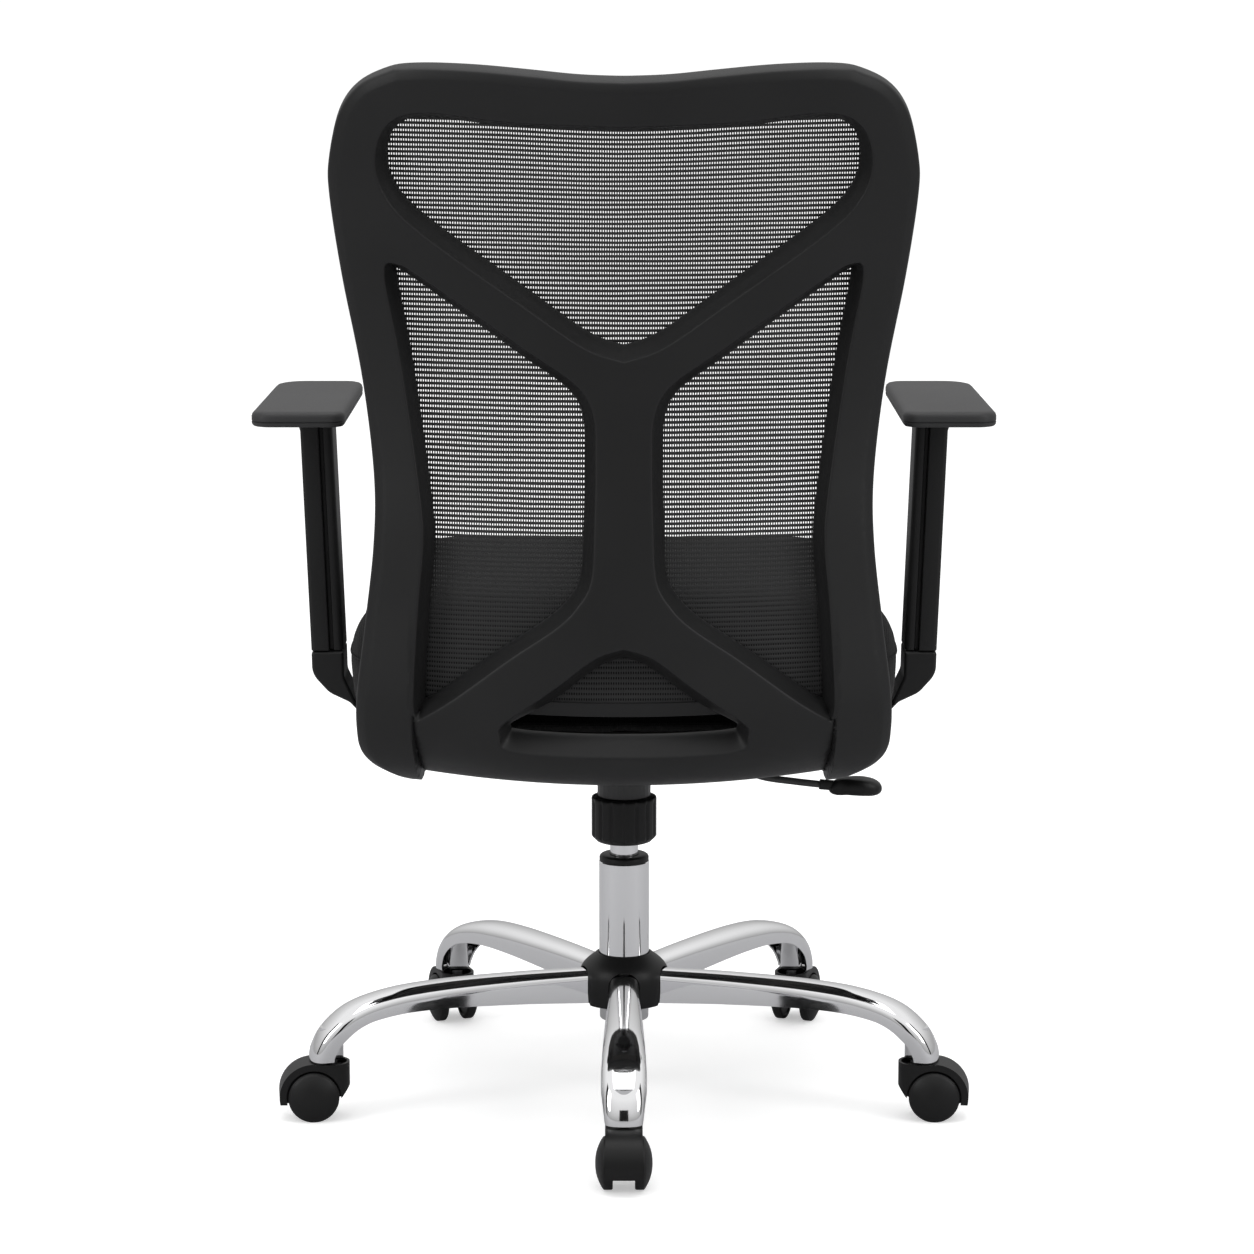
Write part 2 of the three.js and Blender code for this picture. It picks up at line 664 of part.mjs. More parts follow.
// A slab that follows the back's surface from s = low up, moved in from the outer edge.
function backSlab(low, inset, t0, t1, rows, columns) {
  const edge = backEdge.getPoints(rows).filter((p) => p.y >= low);
  const sheets = [t0, t1].map((t) => edge.map((p) => {
    const row = [];
    const rise = THREE.MathUtils.lerp(low, shoulder - inset, (p.y - low) / (shoulder - low));
    for (let j = 0; j <= columns; j++) {
      const u = (2 * j) / columns - 1;
      const dip = topDip * (rise / shoulder) ** 8 * Math.exp(-((u / 0.42) ** 2));
      row.push(onBack(u * (p.x - inset), rise - dip, t));
    }
    return row;
  }));
  const rim = edge.length - 1;
  const points = sheets.flat(2);
  const width = columns + 1;
  const layer = edge.length * width;
  const index = [];
  const quad = (a, b, c, d) => index.push(a, b, c, a, c, d);
  for (let i = 0; i < rim; i++) {
    for (let j = 0; j < columns; j++) {
      const a = i * width + j;
      quad(a, a + width, a + width + 1, a + 1);
      quad(layer + a, layer + a + 1, layer + a + width + 1, layer + a + width);
    }
    for (const j of [0, columns]) {
      const a = i * width + j;
      const ends = [a, layer + a, layer + a + width, a + width];
      quad(...(j ? ends.reverse() : ends));
    }
  }
  for (let j = 0; j < columns; j++) {
    for (const i of [0, rim]) {
      const a = i * width + j;
      const ends = [a, a + 1, layer + a + 1, layer + a];
      quad(...(i ? ends.reverse() : ends));
    }
  }
  const geometry = new THREE.BufferGeometry();
  geometry.setAttribute("position", new THREE.Float32BufferAttribute(points.flatMap((p) => p.toArray()), 3));
  geometry.setIndex(index);
  return solid(geometry);
}

function backFrame() {
  const side = spline(sideWindow, 38, true);
  const windows = [
    symmetric(spline(topWindow, 22, false)),
    symmetric(spline(slotWindow, 14, false)),
    side,
    side.map(([x, s]) => [-x, s]),
  ];
  const betweenFeet = box(-132, 132, 0, 171, 340, 395);
  return cut(backSlab(0, 0, 0, backThickness, 30, 10), betweenFeet, ...windows.map(windowTool));
}

// The edge of the mesh, some way in from the frame's outer edge.
function meshEdge(inset) {
  const sides = backEdge.getPoints(30).filter((p) => p.y > 240).map((p) => [p.x - inset, p.y - inset]);
  const bottom = [[sides[0][0], meshLow + inset], [0, meshLow + inset]];
  return symmetric([...bottom.reverse(), ...sides, [0, shoulder - topDip - inset]]);
}

function back() {
  const group = new THREE.Group();
  const front = backThickness + meshGap;
  const ring = backSlab(meshLow, 6, front, front + 5, 24, 10).subtract(windowTool(meshEdge(22)));
  const panel = backSlab(meshLow, 6, front, front + 2, 24, 10).intersect(windowTool(meshEdge(22 + gap)));
  group.add(
    named("back_frame", backFrame(), blackPlastic),
    named("mesh_ring", ring, blackPlastic),
    named("mesh_panel", panel, meshFabric),
  );
  return group;
}

// ---------------------------------------------------------------- the chair
const chair = new THREE.Group();
const seat = new THREE.Group();
seat.add(
  named("seat_pan", seatPan(), plywood),
  named("seat_cushion", seatCushion(), fabric),
  back(),
  arm(1, "left"),
  arm(-1, "right"),
);
chair.add(base(), gasLift(), mechanism(), seat);

// The origin is on the floor, below the middle of the chair's box.
const bounds = new THREE.Box3().setFromObject(chair, true);
chair.position.set(0, -(bounds.min.y + bounds.max.y) / 2, -bounds.min.z);

export default chair;
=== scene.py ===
import json
import math

import bmesh
import bpy
import numpy as np
from mathutils import Matrix, Vector
from mathutils.bvhtree import BVHTree
from mathutils.geometry import delaunay_2d_cdt

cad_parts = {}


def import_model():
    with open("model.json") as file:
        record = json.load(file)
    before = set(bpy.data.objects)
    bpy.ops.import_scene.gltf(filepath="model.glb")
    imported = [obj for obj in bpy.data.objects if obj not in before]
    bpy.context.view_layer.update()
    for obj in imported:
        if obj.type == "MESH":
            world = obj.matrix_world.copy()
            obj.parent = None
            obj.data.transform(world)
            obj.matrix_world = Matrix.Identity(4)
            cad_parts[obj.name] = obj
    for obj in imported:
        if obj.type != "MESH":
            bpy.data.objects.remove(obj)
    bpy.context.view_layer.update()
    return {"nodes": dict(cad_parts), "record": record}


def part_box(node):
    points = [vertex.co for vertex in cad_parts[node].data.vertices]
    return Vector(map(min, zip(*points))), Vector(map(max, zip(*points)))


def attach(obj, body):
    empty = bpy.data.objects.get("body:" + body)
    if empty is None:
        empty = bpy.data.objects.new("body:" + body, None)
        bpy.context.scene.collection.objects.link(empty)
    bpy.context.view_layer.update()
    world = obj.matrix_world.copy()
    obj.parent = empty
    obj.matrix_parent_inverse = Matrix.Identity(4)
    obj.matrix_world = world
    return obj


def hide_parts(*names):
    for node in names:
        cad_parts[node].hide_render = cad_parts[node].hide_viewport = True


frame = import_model()

# The design is drawn in millimetres about the column's axis, and MM and AXIS place it in the frame.
MM = 0.001
LIFT_LOW, LIFT_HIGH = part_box("lift_column")
AXIS = (LIFT_LOW + LIFT_HIGH) / 2

LEGS = 5
WHEEL_LOW, WHEEL_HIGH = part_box("caster_1_wheel_a")
WHEEL_RADIUS = 25.0
WHEEL_HEIGHT = (WHEEL_LOW.z + WHEEL_HIGH.z) / 2 / MM
STEM_CIRCLE = 302.0
TRAIL = 18.5
CASTER_TURNS = [0, 12.5, 17, -17, -12.5]  # degrees each caster has swivelled from straight out
CASTER_HALF = 26.8
WEB_HALF = 9.5
FENDER = 33.5
POCKET = 26.8
HOUSING = 17.5
HOOD_TOP = 57.0

COLUMN = (LIFT_HIGH.x - LIFT_LOW.x) / 2 / MM
COLUMN_TOP = LIFT_HIGH.z / MM
RING_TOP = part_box("lift_guide_ring")[1].z / MM
TUBE = (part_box("lift_pressure_tube")[1].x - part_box("lift_pressure_tube")[0].x) / 2 / MM
KNOB_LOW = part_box("tension_knob")[0].z / MM
KNOB_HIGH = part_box("tension_knob")[1].z / MM
KNOB_RADIUS = 32.0
KNOB_Y = 62.0

SEAT_LOW, SEAT_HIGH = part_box("seat_cushion")
PAD_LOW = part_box("arm_pad_left")[0].z / MM
PAD_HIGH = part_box("arm_pad_left")[1].z / MM
SEAM_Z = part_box("arm_post_left")[0].z / MM

# The back's side profile, from its feet up, as tangent arcs of (length, turn in degrees).
BACK_START = (75.0, 363.0)
BACK_ARCS = [(100, 0), (136, 90), (195, 5), (200, -19), (220, -2)]
BACK_HOLLOW = 600.0
BACK_THICK = 25.0
MESH_LOW = 212.0
MESH_GAP = 1.2
SHOULDER = 826.0
TOP_DIP = 10.0
HEEL_DROOP = 9.0


# ---------------------------------------------------------------- points and outlines
def place(points):
    """Points in design millimetres as points in the frame's metres."""
    return [(AXIS.x + x * MM, AXIS.y + y * MM, z * MM) for x, y, z in points]


def rounded(corners, steps=6):
    """A closed outline of (x, y, radius) corners, each rounded by an arc."""
    outline = []
    for i, (x, y, radius) in enumerate(corners):
        at = Vector((x, y))
        if not radius:
            outline.append((x, y))
            continue
        back = (Vector(corners[i - 1][:2]) - at).normalized()
        on = (Vector(corners[(i + 1) % len(corners)][:2]) - at).normalized()
        half = math.acos(max(-1.0, min(1.0, back.dot(on)))) / 2
        centre = at + (back + on).normalized() * radius / math.sin(half)
        start = at + back * radius / math.tan(half) - centre
        end = at + on * radius / math.tan(half) - centre
        sweep = math.atan2(start.x * end.y - start.y * end.x, start.dot(end))
        for k in range(steps + 1):
            turned = Matrix.Rotation(sweep * k / steps, 2) @ start
            outline.append(tuple(centre + turned))
    return outline


def curve(points, pieces, closed=False):
    """A Catmull-Rom curve through points, sampled evenly by its own parameter."""
    p = np.array(points, float)
    n = len(p)
    spans = n if closed else n - 1
    out = []
    for k in range(pieces + (0 if closed else 1)):
        t = spans * k / pieces
        i = min(int(t), spans - 1)
        w = t - i
        if closed:
            a, b, c, d = (p[(i + j) % n] for j in (-1, 0, 1, 2))
        else:
            b, c = p[i], p[i + 1]
            a = p[i - 1] if i else 2 * b - c
            d = p[i + 2] if i + 2 < n else 2 * c - b
        v0, v1 = (c - a) / 2, (d - b) / 2
        out.append(
            (2 * b - 2 * c + v0 + v1) * w**3 + (-3 * b + 3 * c - 2 * v0 - v1) * w**2 + v0 * w + b
        )
    return np.array(out)


def evenly(points, spacing, closed=True):
    """The same polyline with its points a fixed distance apart."""
    p = np.array(points, float)
    if closed:
        p = np.vstack([p, p[:1]])
    run = np.concatenate([[0], np.cumsum(np.linalg.norm(np.diff(p, axis=0), axis=1))])
    count = max(8, int(round(run[-1] / spacing)))
    at = np.linspace(0, run[-1], count + 1)
    out = np.stack([np.interp(at, run, p[:, k]) for k in range(p.shape[1])], 1)
    return out[:-1] if closed else out


def area_of(loop):
    x, y = np.array(loop).T
    return 0.5 * np.sum(x * np.roll(y, -1) - y * np.roll(x, -1))


def inset(loop, distance):
    """A closed loop with each point moved in by a distance."""
    p = np.array(loop, float)
    along = np.roll(p, -1, 0) - np.roll(p, 1, 0)
    along /= np.linalg.norm(along, axis=1)[:, None]
    side = math.copysign(1, area_of(p))
    return p + side * distance * np.stack([-along[:, 1], along[:, 0]], 1)


def mirrored(half):
    """A whole outline from its half with x above 0, whose two ends lie on x = 0."""
    half = np.array(half, float)
    other = half[half[:, 0] > 0.01][::-1] * [-1, 1]
    return np.vstack([half, other])


# ---------------------------------------------------------------- meshes
def smooth(piece, angle=38):
    piece.data.shade_smooth()
    piece.data.set_sharp_from_angle(angle=math.radians(angle))


def obj(name, verts, faces, millimetres=True):
    """A plain object from verts and faces, with its faces turned out."""
    data = bpy.data.meshes.new(name)
    data.from_pydata(place(verts) if millimetres else verts, [], faces)
    tidy = bmesh.new()
    tidy.from_mesh(data)
    bmesh.ops.remove_doubles(tidy, verts=tidy.verts, dist=1e-6)
    bmesh.ops.recalc_face_normals(tidy, faces=tidy.faces)
    tidy.to_mesh(data)
    tidy.free()
    made = bpy.data.objects.new(name, data)
    bpy.context.scene.collection.objects.link(made)
    return made


def finish_piece(piece, look, body, stands_for=(), angle=38, bevel=0.0, segments=2):
    """Gives a piece its material, edges and body, and hides the CAD nodes it stands for."""
    piece.data.materials.clear()
    piece.data.materials.append(look)
    if bevel:
        rounding = piece.modifiers.new("edges", "BEVEL")
        rounding.width = bevel * MM
        rounding.segments = segments
        rounding.limit_method = "ANGLE"
        rounding.angle_limit = math.radians(30)
        rounding.harden_normals = False
        bake(piece)
    smooth(piece, angle)
    if bevel:
        even = piece.modifiers.new("normals", "WEIGHTED_NORMAL")
        even.keep_sharp = True
    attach(piece, body)
    if stands_for:
        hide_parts(*stands_for)
    return piece


def bake(piece):
    """Applies every modifier."""
    bpy.context.view_layer.update()
    graph = bpy.context.evaluated_depsgraph_get()
    made = bpy.data.meshes.new_from_object(piece.evaluated_get(graph))
    old = piece.data
    piece.modifiers.clear()
    piece.data = made
    bpy.data.meshes.remove(old)


def boolean(piece, tool, how="DIFFERENCE"):
    change = piece.modifiers.new("cut", "BOOLEAN")
    change.object = tool
    change.operation = how
    change.solver = "EXACT"
    bake(piece)
    bpy.data.objects.remove(tool)
    return piece


def lathe(name, profile, sides=72, x=0.0, y=0.0, radius_at=None):
    """A profile of (radius, height) turned about Z. It closes on the axis or on itself."""
    closed = profile[0][0] > 1e-6
    points = list(profile)
    verts, faces, rows = [], [], []
    for r, z in points:
        if r < 1e-6:
            rows.append([len(verts)] * sides)
            verts.append((x, y, z))
            continue
        row = []
        for k in range(sides):
            a = 2 * math.pi * k / sides
            reach = r if radius_at is None else r * radius_at(a, z)
            row.append(len(verts))
            verts.append((x + reach * math.cos(a), y + reach * math.sin(a), z))
        rows.append(row)
    for i in range(len(rows) - (0 if closed else 1)):
        low, high = rows[i], rows[(i + 1) % len(rows)]
        for k in range(sides):
            n = (k + 1) % sides
            face = list(dict.fromkeys((low[k], low[n], high[n], high[k])))
            if len(face) > 2:
                faces.append(face)
    return obj(name, verts, faces)


def loft(name, rings, caps=True, closed_path=False):
    """A skin over rings of points in design millimetres."""
    count = len(rings[0])
    verts = [tuple(p) for ring in rings for p in ring]
    faces = []
    for i in range(len(rings) - (0 if closed_path else 1)):
        a, b = i * count, ((i + 1) % len(rings)) * count
        for k in range(count):
            n = (k + 1) % count
            faces.append((a + k, a + n, b + n, b + k))
    if caps and not closed_path:
        faces.append(tuple(range(count)))
        faces.append(tuple(range(len(verts) - count, len(verts))))
    return obj(name, verts, faces)


def prism(name, outline, low, high, axis="Z"):
    """An outline given a thickness along Z, or drawn in X and Z and given one along Y."""
    if axis == "Z":
        rings = [[(x, y, z) for x, y in outline] for z in (low, high)]
    else:
        rings = [[(x, y, z) for x, z in outline] for y in (low, high)]
    return loft(name, rings)


def sweep(name, path, section, side=(0, 1, 0), scale=None):
    """A section of (across, up) points carried along a path that bends in one plane."""
    path = np.array(path, float)
    side = np.array(side, float)
    rings = []
    for i, p in enumerate(path):
        along = path[min(i + 1, len(path) - 1)] - path[max(i - 1, 0)]
        along /= np.linalg.norm(along)
        up = np.cross(along, side)
        sx, sy = scale(i / (len(path) - 1)) if scale else (1, 1)
        rings.append([p + side * a * sx + up * b * sy for a, b in section])
    return loft(name, rings)


def circle(radius, count=20):
    angles = [2 * math.pi * k / count for k in range(count)]
    return [(radius * math.cos(a), radius * math.sin(a)) for a in angles]


def spun(piece, degrees, out=0.0, first=0.0):
    """Turns a piece about the column's axis, once a first turn and a shift outwards are made."""
    to_axis = Matrix.Translation((AXIS.x, AXIS.y, 0))
    turn = Matrix.Rotation(math.radians(degrees), 4, "Z")
    turn_first = Matrix.Rotation(math.radians(first), 4, "Z")
    shift = Matrix.Translation((out * MM, 0, 0))
    piece.data.transform(to_axis @ turn @ shift @ turn_first @ to_axis.inverted())
    return piece


def copy_of(piece, name):
    made = bpy.data.objects.new(name, piece.data.copy())
    bpy.context.scene.collection.objects.link(made)
    return made


# ---------------------------------------------------------------- materials
class Nodes:
    """A material's node tree, with short ways to add and join nodes."""

    def __init__(self, name):
        self.material = bpy.data.materials.new(name)
        self.material.use_nodes = True
        self.tree = self.material.node_tree
        self.shader = self.tree.nodes["Principled BSDF"]
        self.coords = self.tree.nodes.new("ShaderNodeTexCoord")

    def add(self, kind, **inputs):
        node = self.tree.nodes.new(kind)
        for key, value in inputs.items():
            if key in node.bl_rna.properties:
                setattr(node, key, value)
        return node

    def join(self, a, b):
        self.tree.links.new(a, b)

    def noise(self, scale, detail=3.0, source=None, stretch=None):
        node = self.add("ShaderNodeTexNoise")
        node.inputs["Scale"].default_value = scale
        node.inputs["Detail"].default_value = detail
        vector = source or self.coords.outputs["Object"]
        if stretch:
            mapping = self.add("ShaderNodeMapping")
            mapping.inputs["Scale"].default_value = stretch
            self.join(vector, mapping.inputs["Vector"])
            vector = mapping.outputs["Vector"]
        self.join(vector, node.inputs["Vector"])
        return node.outputs["Fac"]

    def span(self, source, low, high, from_low=0.0, from_high=1.0):
        node = self.add("ShaderNodeMapRange")
        node.inputs["From Min"].default_value = from_low
        node.inputs["From Max"].default_value = from_high
        node.inputs["To Min"].default_value = low
        node.inputs["To Max"].default_value = high
        self.join(source, node.inputs["Value"])
        return node.outputs["Result"]

    def math(self, operation, a, b=None):
        node = self.add("ShaderNodeMath", operation=operation)
        for socket, value in zip(node.inputs, (a, b)):
            if isinstance(value, (int, float)):
                socket.default_value = value
            elif value is not None:
                self.join(value, socket)
        return node.outputs["Value"]

    def ramp(self, source, stops):
        node = self.add("ShaderNodeValToRGB")
        elements = node.color_ramp.elements
        while len(elements) < len(stops):
            elements.new(0.5)
        for element, (position, colour) in zip(elements, stops):
            element.position = position
            element.color = (*colour, 1)
        self.join(source, node.inputs["Fac"])
        return node.outputs["Color"]

    def bump(self, height, distance, strength=1.0, under=None):
        node = self.add("ShaderNodeBump")
        node.inputs["Strength"].default_value = strength
        node.inputs["Distance"].default_value = distance
        self.join(height, node.inputs["Height"])
        if under is not None:
            self.join(under, node.inputs["Normal"])
        return node.outputs["Normal"]


def grey(level, tint=(1, 1, 1.03)):
    return tuple(level * t for t in tint)


def moulded(name, level, rough=0.5, grain=1600, depth=0.00006):
    """Moulded plastic with a fine spark-eroded grain and slightly paler edges."""
    n = Nodes(name)
    broad = n.noise(9, 2)
    fine = n.noise(grain, 2)
    edge = n.add("ShaderNodeNewGeometry").outputs["Pointiness"]
    wear = n.span(edge, 0.0, 1.0, 0.5, 0.62)
    shade = n.ramp(broad, [(0.3, grey(level * 0.9)), (0.7, grey(level * 1.12))])
    mix = n.add("ShaderNodeMix", data_type="RGBA")
    n.join(n.math("MULTIPLY", wear, 0.35), mix.inputs["Factor"])
    n.join(shade, mix.inputs["A"])
    mix.inputs["B"].default_value = (*grey(level * 1.6), 1)
    n.join(mix.outputs["Result"], n.shader.inputs["Base Color"])
    n.join(n.span(fine, rough - 0.06, rough + 0.08), n.shader.inputs["Roughness"])
    n.join(n.bump(fine, depth), n.shader.inputs["Normal"])
    n.shader.inputs["Specular IOR Level"].default_value = 0.3
    return n.material


def chromed(name, rough=0.05, level=0.86):
    """Polished chrome plate with faint polishing marks."""
    n = Nodes(name)
    marks = n.noise(160, 4, stretch=(1, 1, 6))
    n.shader.inputs["Base Color"].default_value = (level, level, level * 1.01, 1)
    n.shader.inputs["Metallic"].default_value = 1.0
    n.join(n.span(marks, rough, rough + 0.05), n.shader.inputs["Roughness"])
    n.join(n.bump(n.noise(30, 2), 0.0002, 0.06), n.shader.inputs["Normal"])
    return n.material


def bare_steel(name, level=0.45, rough=0.3):
    n = Nodes(name)
    brushed = n.noise(900, 3, stretch=(1, 1, 0.05))
    n.join(n.ramp(brushed, [(0.2, grey(level * 0.8)), (0.8, grey(level * 1.15))]),
           n.shader.inputs["Base Color"])
    n.shader.inputs["Metallic"].default_value = 1.0
    n.join(n.span(brushed, rough - 0.08, rough + 0.12), n.shader.inputs["Roughness"])
    n.join(n.bump(brushed, 0.00003), n.shader.inputs["Normal"])
    return n.material


def powder_coat(name, level=0.02):
    """Black powder coat with orange peel."""
    n = Nodes(name)
    peel = n.noise(420, 2)
    n.join(n.ramp(n.noise(14, 3), [(0.3, grey(level * 0.8)), (0.7, grey(level * 1.3))]),
           n.shader.inputs["Base Color"])
    n.join(n.span(peel, 0.32, 0.45), n.shader.inputs["Roughness"])
    n.join(n.bump(peel, 0.00012), n.shader.inputs["Normal"])
    return n.material


def woven(name, level=0.011, pitch=0.0011):
    """Black upholstery cloth: a plain weave whose yarns run along X and Y, with a soft sheen."""
    n = Nodes(name)
    waves = []
    for axis in ("X", "Y"):
        wave = n.add("ShaderNodeTexWave", wave_type="BANDS", bands_direction=axis)
        wave.inputs["Scale"].default_value = 0.314 / pitch / 2
        wave.inputs["Distortion"].default_value = 0.6
        wave.inputs["Detail Scale"].default_value = 4.0
        n.join(n.coords.outputs["Object"], wave.inputs["Vector"])
        waves.append(wave.outputs["Fac"])
    weave = n.math("MULTIPLY", *waves)
    fuzz = n.noise(2600, 2)
    height = n.math("ADD", weave, n.math("MULTIPLY", fuzz, 0.4))
    worn = n.noise(7, 3)
    tone = n.math("ADD", n.math("MULTIPLY", weave, 0.7), n.math("MULTIPLY", worn, 0.5))
    n.join(n.ramp(tone, [(0.15, grey(level * 0.55)), (0.85, grey(level * 1.6))]),
           n.shader.inputs["Base Color"])
    n.join(n.span(fuzz, 0.82, 0.97), n.shader.inputs["Roughness"])
    n.shader.inputs["Sheen Weight"].default_value = 0.06
    n.shader.inputs["Sheen Roughness"].default_value = 0.45
    n.shader.inputs["Specular IOR Level"].default_value = 0.12
    n.join(n.bump(height, 0.00035), n.shader.inputs["Normal"])
    return n.material


def open_knit(name, row=0.0046, stitch=0.0023):
    """The back's mesh: dark knitted rows with rows of small holes between them, in UV metres."""
    n = Nodes(name)
    split = n.add("ShaderNodeSeparateXYZ")
    n.join(n.coords.outputs["UV"], split.inputs["Vector"])
    drift = n.noise(1.0, 3, n.coords.outputs["UV"], (9, 30, 1))
    along = n.math("ADD", split.outputs["Y"], n.math("MULTIPLY", drift, 0.0022))
    across = n.math("ADD", split.outputs["X"], n.math("MULTIPLY", drift, 0.0012))
    rows = n.math("FRACT", n.math("DIVIDE", along, row))
    stitches = n.math("FRACT", n.math("DIVIDE", across, stitch))
    open_row = n.math("GREATER_THAN", rows, 0.6)
    open_stitch = n.math("GREATER_THAN", stitches, 0.55)
    hole = n.math("MULTIPLY", open_row, open_stitch)
    n.join(n.math("SUBTRACT", 1.0, hole), n.shader.inputs["Alpha"])
    yarn = n.noise(2400, 2)
    n.join(n.ramp(yarn, [(0.2, grey(0.006)), (0.8, grey(0.016))]), n.shader.inputs["Base Color"])
    n.join(n.span(yarn, 0.62, 0.8), n.shader.inputs["Roughness"])
    ridge = n.math("PINGPONG", n.math("DIVIDE", across, stitch), 0.5)
    n.join(n.bump(n.math("ADD", ridge, n.math("MULTIPLY", yarn, 0.3)), 0.0003),
           n.shader.inputs["Normal"])
    n.shader.inputs["Sheen Weight"].default_value = 0.03
    return n.material


def plywood(name):
    """Black stained plywood, its grain still showing."""
    n = Nodes(name)
    grain = n.noise(14, 5, stretch=(1, 12, 40))
    n.join(n.ramp(grain, [(0.25, (0.012, 0.011, 0.01)), (0.75, (0.026, 0.024, 0.022))]),
           n.shader.inputs["Base Color"])
    n.join(n.span(grain, 0.6, 0.8), n.shader.inputs["Roughness"])
    n.join(n.bump(grain, 0.0002), n.shader.inputs["Normal"])
    return n.material


FRAME_PLASTIC = moulded("frame_plastic", 0.008, 0.46)
ARM_PLASTIC = moulded("arm_plastic", 0.008, 0.48)
PAD_PLASTIC = moulded("pad_plastic", 0.026, 0.5, 1100, 0.00008)
BASE_PLASTIC = moulded("base_plastic", 0.004, 0.42)
WHEEL_PLASTIC = moulded("wheel_plastic", 0.006, 0.42, 1200)
CHROME = chromed("chrome_plate")
STEEL = bare_steel("bare_steel")
COATED = powder_coat("black_coat")
SEAT_CLOTH = woven("seat_cloth", 0.003)
KNIT = open_knit("back_knit")
WOOD = plywood("pan_plywood")


# ---------------------------------------------------------------- casters
def wheel_profile():
    """From the domed cap's middle, over the rim and the tread, to the bore."""
    rim = CASTER_HALF - 7.4
    dome = [(r, CASTER_HALF - 6.9 * (r / 23.6) ** 2.2) for r in np.linspace(0, 23.6, 14)]
    shoulder = [(23.9, rim + 0.1), (24.3, rim), (24.8, rim - 0.6), (WHEEL_RADIUS, rim - 1.6)]
    inner = WEB_HALF + 0.9
    tread = [(WHEEL_RADIUS, inner + 1.6), (24.7, inner + 0.5), (24, inner), (21, inner - 0.1)]
    hub = [(20, inner + 1.5), (10, inner + 1.5), (9, inner), (4.3, inner), (4.3, 18), (0, 18)]
    return dome + shoulder + tread + hub


def hood_outline():
    """The hood's side view: stem housing, arched fender and the lugs around the wheel."""
    arc = [
        (TRAIL + FENDER * math.cos(a), WHEEL_HEIGHT + FENDER * math.sin(a))
        for a in np.linspace(math.asin(-7 / FENDER), math.pi * 0.52, 32)
    ]
    return [
        (-HOUSING, HOOD_TOP), (-HOUSING, WHEEL_HEIGHT + 9), (-HOUSING + 8, WHEEL_HEIGHT - 1),
        (TRAIL - 9, WHEEL_HEIGHT - 9), (TRAIL + 9, WHEEL_HEIGHT - 9),
        (arc[0][0] - 6, WHEEL_HEIGHT - 7), *arc, (HOUSING, HOOD_TOP),
    ]


def caster_parts():
    """One caster about its stem, trailing along X: its hood and its two wheels."""
    hood = prism("hood", hood_outline(), -HOUSING, HOUSING, "Y")
    beyond = TRAIL + FENDER + 4
    round_front = [
        (HOUSING * math.cos(a), HOUSING * math.sin(a))
        for a in np.linspace(math.pi / 2, math.pi * 1.5, 37)
    ]
    plan = [*round_front, (beyond, -HOUSING - 2), (beyond, HOUSING + 2)]
    boolean(hood, prism("plan", plan, -1, 80), "INTERSECT")
    pocket = [(0, WEB_HALF), (POCKET, WEB_HALF), (POCKET, HOUSING + 5), (0, HOUSING + 5)]
    for side in (-1, 1):
        boolean(hood, on_wheel_axis(lathe("pocket", pocket, 72), side))
    well = HOUSING - 2.6
    cup = [(0, HOOD_TOP - 5), (well, HOOD_TOP - 5), (well, HOOD_TOP + 9), (0, HOOD_TOP + 9)]
    boolean(hood, lathe("cup", cup, 60))
    boolean(hood, lathe("bore", [(0, 39), (5.8, 39), (5.8, 90), (0, 90)], 32))
    wheels = [on_wheel_axis(lathe("wheel", wheel_profile(), 80), side) for side in (-1, 1)]
    return hood, wheels


def on_wheel_axis(piece, side):
    """A piece turned about Z is laid along Y, on the wheels' axis, to one side."""
    centre = Vector((AXIS.x, AXIS.y, 0))
    lay = Matrix.Rotation(math.radians(-90 * side), 4, "X")
    lift = Matrix.Translation(Vector((TRAIL, 0, WHEEL_HEIGHT)) * MM)
    piece.data.transform(lift @ Matrix.Translation(centre) @ lay @ Matrix.Translation(-centre))
    return piece


def casters():
    hood, wheels = caster_parts()
    for i in range(LEGS):
        angle = 90 + 360 * i / LEGS
        body = f"caster_{i + 1}"
        turned = CASTER_TURNS[i]
        made = spun(copy_of(hood, body + "_hood_shell"), angle, STEM_CIRCLE, turned)
        finish_piece(made, BASE_PLASTIC, body, [body + "_hood"], bevel=1.0, segments=3)
        for wheel, letter in zip(wheels, "ba"):
            made = spun(copy_of(wheel, f"{body}_wheel_{letter}_tyre"), angle, STEM_CIRCLE, turned)
            node = f"{body}_wheel_{letter}"
            finish_piece(made, WHEEL_PLASTIC, node, [node])
    for template in (hood, *wheels):
        bpy.data.objects.remove(template)


# ---------------------------------------------------------------- legs and hub
LEG_CURVE = [
    (31, 129), (110, 130.5), (190, 129.5), (243, 124.5), (284, 112.5), (310.5, 92), (322, 72), (324, 60),
]
LEG_WALL = 2.4


def leg_arch(half, crown, deep):
    """An arch as (across, down) points, from one foot over the crown to the other."""
    drop = min(0.62 * deep, 0.75 * half)
    side = []
    for a in np.linspace(0, math.pi / 2, 10)[:-1]:
        side.append((half * math.cos(a) ** 0.8, crown + drop * (1 - math.sin(a) ** 0.8)))
    other = [(-x, z) for x, z in side]
    return [(-half, deep), *other, (0, crown), *side[::-1], (half, deep)]


